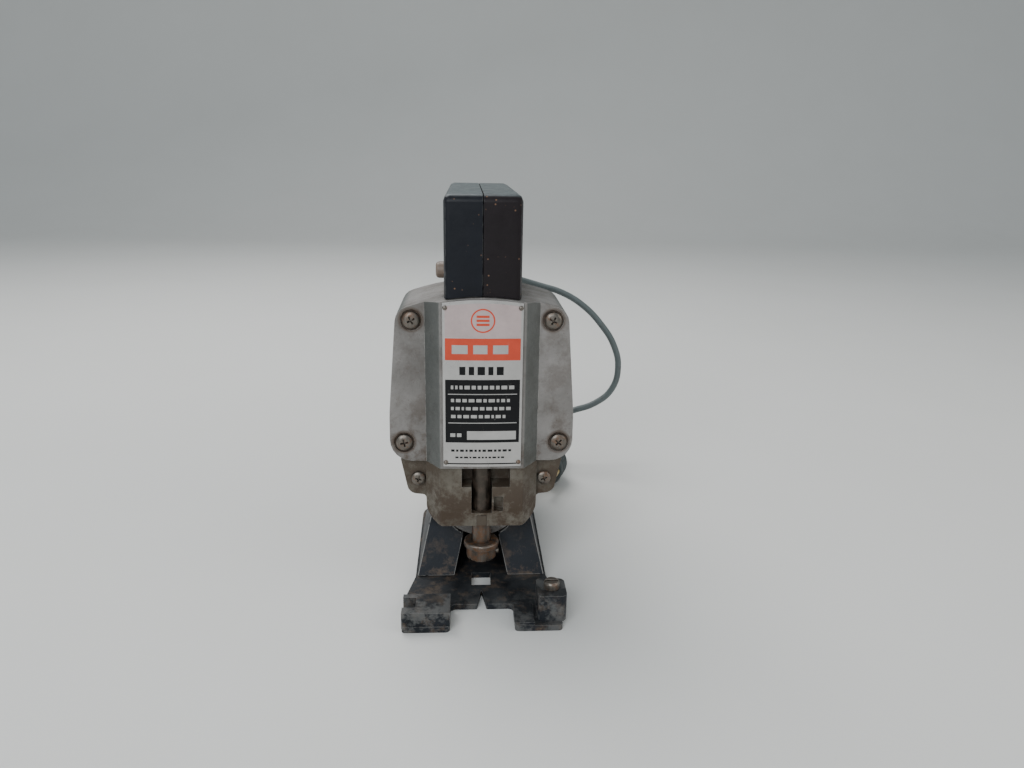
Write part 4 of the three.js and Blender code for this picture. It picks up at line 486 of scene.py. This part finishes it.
def lathe(profile, sides=40):
    """A closed surface turned about Z, from [radius, height] points that start and end on the axis."""
    shape = bmesh.new()
    rings = []
    for radius, height in profile:
        if radius == 0:
            rings.append([shape.verts.new((0, 0, height * MM))])
            continue
        ring = []
        for i in range(sides):
            a = 2 * math.pi * i / sides
            ring.append(shape.verts.new((radius * MM * math.cos(a), radius * MM * math.sin(a), height * MM)))
        rings.append(ring)
    for low, high in zip(rings, rings[1:]):
        for i in range(sides):
            j = (i + 1) % sides
            corners = [low[i % len(low)], low[j % len(low)], high[j % len(high)], high[i % len(high)]]
            corners = list(dict.fromkeys(corners))
            if len(corners) > 2:
                shape.faces.new(corners)
    return closed_mesh_of(shape, "lathe")


def without(mesh, cutter):
    """One mesh with another cut out of it."""
    holders = [add("holder", m) for m in (mesh, cutter)]
    modifier = holders[0].modifiers.new("cut", "BOOLEAN")
    modifier.operation = "DIFFERENCE"
    modifier.solver = "EXACT"
    modifier.object = holders[1]
    graph = bpy.context.evaluated_depsgraph_get()
    made = bpy.data.meshes.new_from_object(holders[0].evaluated_get(graph))
    for holder in holders:
        bpy.data.objects.remove(holder)
    return made


def cross_cutter(reach, half_width, top, depth):
    """A cross-recess driver's point, as a closed mesh: two crossed tapering blades."""
    outline = [
        (half_width, half_width), (half_width, reach), (-half_width, reach), (-half_width, half_width),
        (-reach, half_width), (-reach, -half_width), (-half_width, -half_width), (-half_width, -reach),
        (half_width, -reach), (half_width, -half_width), (reach, -half_width), (reach, half_width),
    ]
    shape = bmesh.new()
    upper = [shape.verts.new((x * MM, y * MM, (top + 1) * MM)) for x, y in outline]
    lower = [shape.verts.new((x * 0.5 * MM, y * 0.5 * MM, (top - depth) * MM)) for x, y in outline]
    shape.faces.new(upper)
    shape.faces.new(lower[::-1])
    count = len(outline)
    for i in range(count):
        j = (i + 1) % count
        shape.faces.new([upper[j], upper[i], lower[i], lower[j]])
    return closed_mesh_of(shape, "cross")


def pan_head(radius, height, shank):
    """A pan-head screw along Z, its seat at 0 and its head above, with a cross recess."""
    profile = [
        (0, -shank), (1.4, -shank), (1.9, -shank + 0.8), (1.9, 0), (radius - 0.25, 0), (radius, 0.2),
        (radius, height * 0.42), (radius * 0.95, height * 0.66), (radius * 0.8, height * 0.86),
        (radius * 0.55, height * 0.97), (0, height),
    ]
    made = without(lathe(profile), cross_cutter(radius * 0.58, radius * 0.13, height, height * 0.72))
    made.materials.clear()
    softened(made, 30)
    return made


def screw(node, axis, outwards, radius, height, turn):
    """Puts a cross-recess screw at its CAD node, head towards the axis's low end if outwards is -1."""
    low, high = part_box(node)
    end = low if outwards < 0 else high
    along = "xyz".index(axis)
    length = (high - low)[along] / MM
    seat = (low + high) / 2
    seat[along] = end[along] - outwards * height * MM
    direction = Vector([outwards if name == axis else 0 for name in "xyz"])
    mesh = pan_head(radius, height, length - height)
    spin = Matrix.Rotation(math.radians(turn), 4, "Z")
    mesh.transform(Matrix.Translation(seat) @ pointing(direction) @ spin)
    link(node + "_cross_head", mesh, "screw_steel", NODES[node]["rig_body"], [node])


SCREW_TURNS = (28, 61, 12, 47, 75, 20, 33, 66, 8, 52)  # how each cross recess was left, in degrees


def build_screws():
    turns = iter(SCREW_TURNS)
    for name in ("upper_left", "upper_right", "lower_left", "lower_right"):
        screw("cover_screw_" + name, "y", -1, 4.2, 2.4, next(turns))
    for name in ("left", "right"):
        screw("lug_screw_" + name, "y", -1, 3.6, 2.2, next(turns))
    for name in ("upper", "lower"):
        screw("rear_screw_" + name, "y", 1, 3.6, 2.2, next(turns))
    for name in ("front", "rear"):
        screw("handle_screw_" + name, "x", 1, 3.6, 2.0, next(turns))


# ---------------------------------------------------------------- nameplate

PLATE_HALF = 18.8
PLATE_BULGE = 0.8  # how far the plate's middle stands out past its sides
PLATE_FACE = -1.5
PLATE_BACK = -0.32
PLATE_BOTTOM = 72
CROWN_RADIUS = 107
CROWN_TOP = 154.5


def plate_top(x):
    return CROWN_TOP - CROWN_RADIUS - 0.4 + math.sqrt(CROWN_RADIUS ** 2 - x ** 2)


def plate_front(x):
    return PLATE_FACE - PLATE_BULGE * (1 - (x / PLATE_HALF) ** 2)


def slab(x0, x1, low, high, proud, columns=None):
    """A thin closed slab on the plate's curved face, up to an edge that may be a function of x.

    With proud at 0 it is the plate itself, down to its flat back.
    """
    columns = columns or max(1, round((x1 - x0) / 1.6))
    shape = bmesh.new()
    rows = []
    for i in range(columns + 1):
        x = x0 + (x1 - x0) * i / columns
        top = high(x) if callable(high) else high
        front = plate_front(x) - proud
        rear = PLATE_BACK if proud == 0 else plate_front(x) + 0.1
        section = ((front, low), (front, top), (rear, top), (rear, low))
        rows.append([shape.verts.new(point(x, y, z)) for y, z in section])
    for a, b in zip(rows, rows[1:]):
        for k in range(4):
            shape.faces.new([a[k], b[k], b[(k + 1) % 4], a[(k + 1) % 4]])
    shape.faces.new(rows[0])
    shape.faces.new(rows[-1][::-1])
    return closed_mesh_of(shape, "slab")


def joined(meshes):
    shape = bmesh.new()
    for mesh in meshes:
        shape.from_mesh(mesh)
    return mesh_of(shape, "joined")


def dashes(low, high, left, right, shortest, longest, gap):
    """A row of plain dashes of uneven length. They stand for print and spell nothing."""
    made = []
    x = left
    while x + shortest < right:
        width = min(rng.uniform(shortest, longest), right - x)
        made.append(slab(x, x + width, low, high, 0.10))
        x += width + gap
    return made


def ring_on_plate(x, z, inner, outer, proud):
    """A flat ring that follows the plate's curve."""
    shape = bmesh.new()
    sides = 40
    loops = []
    for radius, lift in ((outer, 0.06), (outer, -proud), (inner, -proud), (inner, 0.06)):
        loop = []
        for i in range(sides):
            a = 2 * math.pi * i / sides
            px = x + radius * math.cos(a)
            loop.append(shape.verts.new(point(px, plate_front(px) + lift, z + radius * math.sin(a))))
        loops.append(loop)
    for a, b in zip(loops, loops[1:] + loops[:1]):
        for i in range(sides):
            j = (i + 1) % sides
            shape.faces.new([a[i], a[j], b[j], b[i]])
    return closed_mesh_of(shape, "ring")


def build_nameplate():
    plate = slab(-PLATE_HALF, PLATE_HALF, PLATE_BOTTOM, plate_top, 0, 24)
    softened(plate)
    link("nameplate_sheet", plate, "etched_plate", "tool", ["nameplate"])
    half = PLATE_HALF - 1.1
    inks = {
        "blush": (0.47, 0.38, 0.37),
        "orange": (0.58, 0.075, 0.04),
        "black": (0.007, 0.007, 0.008),
        "silver": (0.48, 0.47, 0.455),
    }
    for name, tint in inks.items():
        MATERIALS["ink_" + name] = printed("ink_" + name, tint, 0.7 if name == "silver" else 0.0)
    layers = {
        "blush": [slab(-half, half, 136.5, lambda x: plate_top(x) - 1.6, 0.05)],
        "orange": [
            slab(-half, half, 125.5, 136, 0.05),
            ring_on_plate(0, 144.4, 5.0, 5.7, 0.09),
            *[slab(-3.0, 3.0, z, z + 1.1, 0.09) for z in (142.0, 143.9, 145.8)],
        ],
        "black": [
            slab(-half, half, 84.5, 116, 0.05),
            slab(-half, half, 73.2, 73.8, 0.05),
            *dashes(118.4, 122.4, -11, 11, 2.2, 4.2, 1.6),
            *dashes(79.8, 80.9, -15, 14, 1.0, 2.6, 0.8),
            *dashes(76.4, 77.2, -13, 12, 0.8, 2.0, 0.7),
        ],
        "silver": [
            *dashes(128.6, 132.8, -14.5, 14.5, 5.6, 8.4, 2.6),
            *dashes(111.4, 113.2, -15, 15, 1.0, 3.2, 0.9),
            slab(-16.4, 16.4, 108.7, 109.1, 0.09),
            *dashes(105.0, 106.6, -15, 13, 1.0, 3.0, 0.9),
            *dashes(101.0, 102.6, -15, 15, 1.0, 3.0, 0.9),
            *dashes(97.0, 98.6, -15, 11, 1.0, 3.0, 0.9),
            slab(-16.4, 16.4, 94.3, 94.7, 0.09),
            *dashes(87.4, 89.2, -15.4, -9.4, 1.0, 2.4, 0.8),
            slab(-7.4, 16.2, 86.0, 90.4, 0.09),
        ],
    }
    for name, meshes in layers.items():
        link("nameplate_" + name + "_print", joined(meshes), "etched_plate", "tool", (), "ink_" + name)
    rivet = [(0, -0.5), (0.9, -0.5), (0.9, 0), (1.15, 0.05), (1.1, 0.4), (0.75, 0.75), (0, 0.9)]
    places = [(-17.6, 74.1), (17.6, 74.1), (-17.6, 150.3), (17.6, 150.3)]
    for number, (x, z) in enumerate(places, 1):
        mesh = lathe(rivet, 20)
        mesh.transform(Matrix.Translation(point(x, plate_front(x), z)) @ pointing((0, -1, 0)))
        softened(mesh)
        link("nameplate_rivet_%d" % number, mesh, "screw_steel", "tool")


# ---------------------------------------------------------------- cord

CORD_DIAMETER = 4.5
COIL_CENTRE_Y = 240
COIL_LAYERS = 4
TURNS_PER_LAYER = 1.875
POINTS_PER_TURN = 16
COIL_INNER = 23
COIL_OUTER = 32
LAYER_HEIGHT = 4.6
CLIMB_START = 0.88  # the share of a layer after which the cord rises to the next
LEAD = [
    (0, 174.3, 141), (0.5, 182, 140.5), (5, 193, 138.8), (15, 201, 136), (29, 203.5, 132),
    (45, 201, 127.8), (61, 196, 123.5), (76, 191, 115), (89, 187, 102), (98, 183, 88),
    (101.5, 180, 72), (97, 177, 56.5), (85, 175.5, 46.5), (69, 175, 41), (52, 176, 34.5),
    (37, 177.5, 26), (22, 180, 17), (8, 184, 9), (-6, 189.5, 3.6), (-19, 197.5, 2.6),
    (-27.6, 208.5, 2.6), (-31.8, COIL_CENTRE_Y - 18.5, 2.9),
]
TAIL = [
    (32.4, COIL_CENTRE_Y - 18.5, 16.6), (38, 210, 15.8), (47.5, 202, 14.6), (56, 192, 14),
    (60.2, 181, 13.4), (59.3, 173, 13.3), (56.4, 165.3, 13.3),
]
PLUG_REAR = (56.3, 165, 13.3)
PLUG_HEADING = (-0.35, -0.937, 0)


def coil_points():
    """Turns that lie beside and on each other, clockwise from above, in at the left and out at the right."""
    made = []
    total = COIL_LAYERS * TURNS_PER_LAYER
    steps = round(total * POINTS_PER_TURN)
    for i in range(steps + 1):
        turns = total * i / steps
        layer = min(int(turns / TURNS_PER_LAYER), COIL_LAYERS - 1)
        share = turns / TURNS_PER_LAYER - layer
        width = (COIL_OUTER - COIL_INNER) * share
        radius = COIL_OUTER - width if layer % 2 == 0 else COIL_INNER + width
        climb = max(0.0, (share - CLIMB_START) / (1 - CLIMB_START)) if layer < COIL_LAYERS - 1 else 0.0
        height = 2.95 + LAYER_HEIGHT * (layer + climb * climb * (3 - 2 * climb))
        angle = math.pi - 2 * math.pi * turns
        made.append((radius * math.cos(angle), COIL_CENTRE_Y + radius * math.sin(angle), height))
    return made


def build_cord():
    """The whole cord as one curve, and its length along the points of its route."""
    route = [point(*p) for p in LEAD + coil_points() + TAIL]
    curve = bpy.data.curves.new("mains_cord", "CURVE")
    curve.dimensions = "3D"
    curve.bevel_depth = CORD_DIAMETER / 2 * MM
    curve.bevel_resolution = 4
    curve.resolution_u = 5
    curve.use_fill_caps = True
    spline = curve.splines.new("BEZIER")
    spline.bezier_points.add(len(route) - 1)
    for knot, place in zip(spline.bezier_points, route):
        knot.co = place
        knot.handle_left_type = knot.handle_right_type = "AUTO"
    curve.materials.append(MATERIALS["cord_sheath"])
    cord = add("mains_cord", curve)
    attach(cord, "tool")
    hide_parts("cord_lead", "cord_coil", "cord_tail")
    length = sum((b - a).length for a, b in zip(route, route[1:]))
    return cord, length


def build_relief():
    """A tapering sleeve with grooves round it."""
    low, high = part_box("strain_relief")
    whole = (high.y - low.y) / MM
    collar = 5.0
    profile = [(0, 0), (5.6, 0), (5.6, collar), (4.7, collar + 1.2)]
    grooves = 7
    pitch = (whole - collar - 3.4) / grooves
    for i in range(grooves):
        at = collar + 1.6 + i * pitch
        radius = 4.5 - 1.3 * i / grooves
        profile += [
            (radius, at), (radius, at + pitch * 0.5),
            (radius - 0.7, at + pitch * 0.6), (radius - 0.7, at + pitch * 0.9),
        ]
    profile += [(3.15, whole - 0.8), (2.7, whole), (0, whole)]
    mesh = lathe(profile)
    place = Matrix.Translation(((low.x + high.x) / 2, low.y, (low.z + high.z) / 2))
    mesh.transform(place @ pointing((0, 1, 0)))
    softened(mesh)
    return link("cord_sleeve", mesh, "rubber", "tool", ["strain_relief"])


def build_plug():
    """A moulded plug with grip rings, and two round pins."""
    profile = [(0, 0), (3.2, 0), (3.6, 2), (4.2, 6), (5.6, 8.6), (8.4, 11), (10.8, 14), (12.2, 17)]
    for i in range(4):
        at = 18.5 + i * 2.7
        profile += [(13, at), (13, at + 1.3), (12.3, at + 1.8), (12.3, at + 2.3)]
    profile += [(13, 29.8), (13, 32.6), (12.4, 33.6), (11.4, 34), (0, 34)]
    body = lathe(profile, 48)
    body.transform(Matrix.Translation(point(*PLUG_REAR)) @ pointing(Vector(PLUG_HEADING).normalized()))
    softened(body)
    made = [link("plug_moulding", body, "rubber", "tool", ["plug_body"])]
    for node in ("plug_pin_left", "plug_pin_right"):
        made.append(refine(node, 0.25))
    return made


def build_tie():
    """A flat band round one side of the coil."""
    inner, outer, low, high = 20.4, 34.6, 0.6, 19.3
    corner = 2.5
    outline = []
    for cx, cz, start in (
        (outer - corner, high - corner, 0), (inner + corner, high - corner, 90),
        (inner + corner, low + corner, 180), (outer - corner, low + corner, 270),
    ):
        for step in range(5):
            a = math.radians(start + step * 22.5)
            outline.append((cx, cz, math.cos(a), math.sin(a)))
    shape = bmesh.new()
    loops = []
    for half, radius in ((-3, corner), (3, corner), (3, corner + 0.55), (-3, corner + 0.55)):
        loops.append([
            shape.verts.new(point(half, COIL_CENTRE_Y + cx + radius * c, cz + radius * s))
            for cx, cz, c, s in outline
        ])
    count = len(outline)
    for a, b in zip(loops, loops[1:] + loops[:1]):
        for i in range(count):
            j = (i + 1) % count
            shape.faces.new([a[i], a[j], b[j], b[i]])
    mesh = closed_mesh_of(shape, "tie")
    softened(mesh)
    return link("cord_tie", mesh, "rubber", "tool")


# ---------------------------------------------------------------- stage


def area_light(name, place, aim, size, power, colour=(1, 1, 1)):
    data = bpy.data.lights.new(name, "AREA")
    data.shape = "DISK"
    data.size = size
    data.energy = power
    data.color = colour
    light = add(name, data)
    direction = Vector(aim) - Vector(place)
    light.matrix_world = Matrix.Translation(place) @ direction.to_track_quat("-Z", "Y").to_matrix().to_4x4()


def build_stage():
    """A floor that sweeps up into a wall, soft daylight all round and three lamps."""
    shape = bmesh.new()
    rows = [(-3.0, 0.0)]
    for step in range(13):
        a = math.radians(step * 7.5)
        rows.append((1.6 + 0.8 * math.sin(a), 0.8 - 0.8 * math.cos(a)))
    rows.append((2.4, 4.0))
    strips = [[shape.verts.new((x, y, z)) for x in (-5.0, 5.0)] for y, z in rows]
    for a, b in zip(strips, strips[1:]):
        shape.faces.new([a[0], a[1], b[1], b[0]])
    mesh = mesh_of(shape, "floor")
    mesh.shade_smooth()
    paper = Shade("pale_floor", Roughness=0.85)
    paper.set("Base Color", paper.mix(paper.noise(6, 4), (0.66, 0.655, 0.63), (0.70, 0.695, 0.675)))
    mesh.materials.append(paper.material)
    floor = add("floor", mesh)
    world = bpy.data.worlds.new("world")
    bpy.context.scene.world = world
    world.use_nodes = True
    daylight = world.node_tree.nodes["Background"].inputs
    daylight["Color"].default_value = (0.80, 0.88, 0.93, 1)
    daylight["Strength"].default_value = 0.5
    area_light("key", (-0.35, 0.55, 1.25), (0, 0, 0.08), 0.9, 14)
    area_light("front", (-0.5, -1.3, 0.85), (0, 0, 0.1), 1.1, 15, (0.94, 0.97, 1))
    area_light("side", (1.2, -0.5, 0.6), (0, 0, 0.1), 0.9, 4, (1, 0.96, 0.9))


# ---------------------------------------------------------------- the whole scene

# how far each node's edges are rounded, in millimetres
EDGES = {
    "front_cover": 0.7, "guide_housing": 0.7, "gear_housing": 0.6, "motor_housing": 0.5, "rear_cover": 0.5,
    "handle_left": 0.3, "handle_right": 0.3, "trigger": 0.6, "lock_button": 0.2,
    "base": 0.45, "tilt_bracket": 0.45, "fence_clamp_block": 0.6, "fence_screw": 0.3,
    "blade_clamp": 0.3, "plunger": 0.25, "tilt_bolt_front": 0.3, "tilt_bolt_rear": 0.3,
    "brush_cap_left": 0.25, "brush_cap_right": 0.25, "blade_clamp_screw": 0.2,
}

make_camera()
cord, cord_length = build_cord()
print("cord length", round(cord_length, 4))
riding_cord = [build_relief(), *build_plug(), build_tie()]
build_nameplate()
build_screws()

for name, width in EDGES.items():
    refine(name, width, "bakelite_brown" if name == "handle_right" else None)

# what still shows of the CAD gets its material
for name, node in NODES.items():
    if not node.hide_render:
        node.data.materials.clear()
        node.data.materials.append(MATERIALS[SLOT_OF[name]])
build_stage()
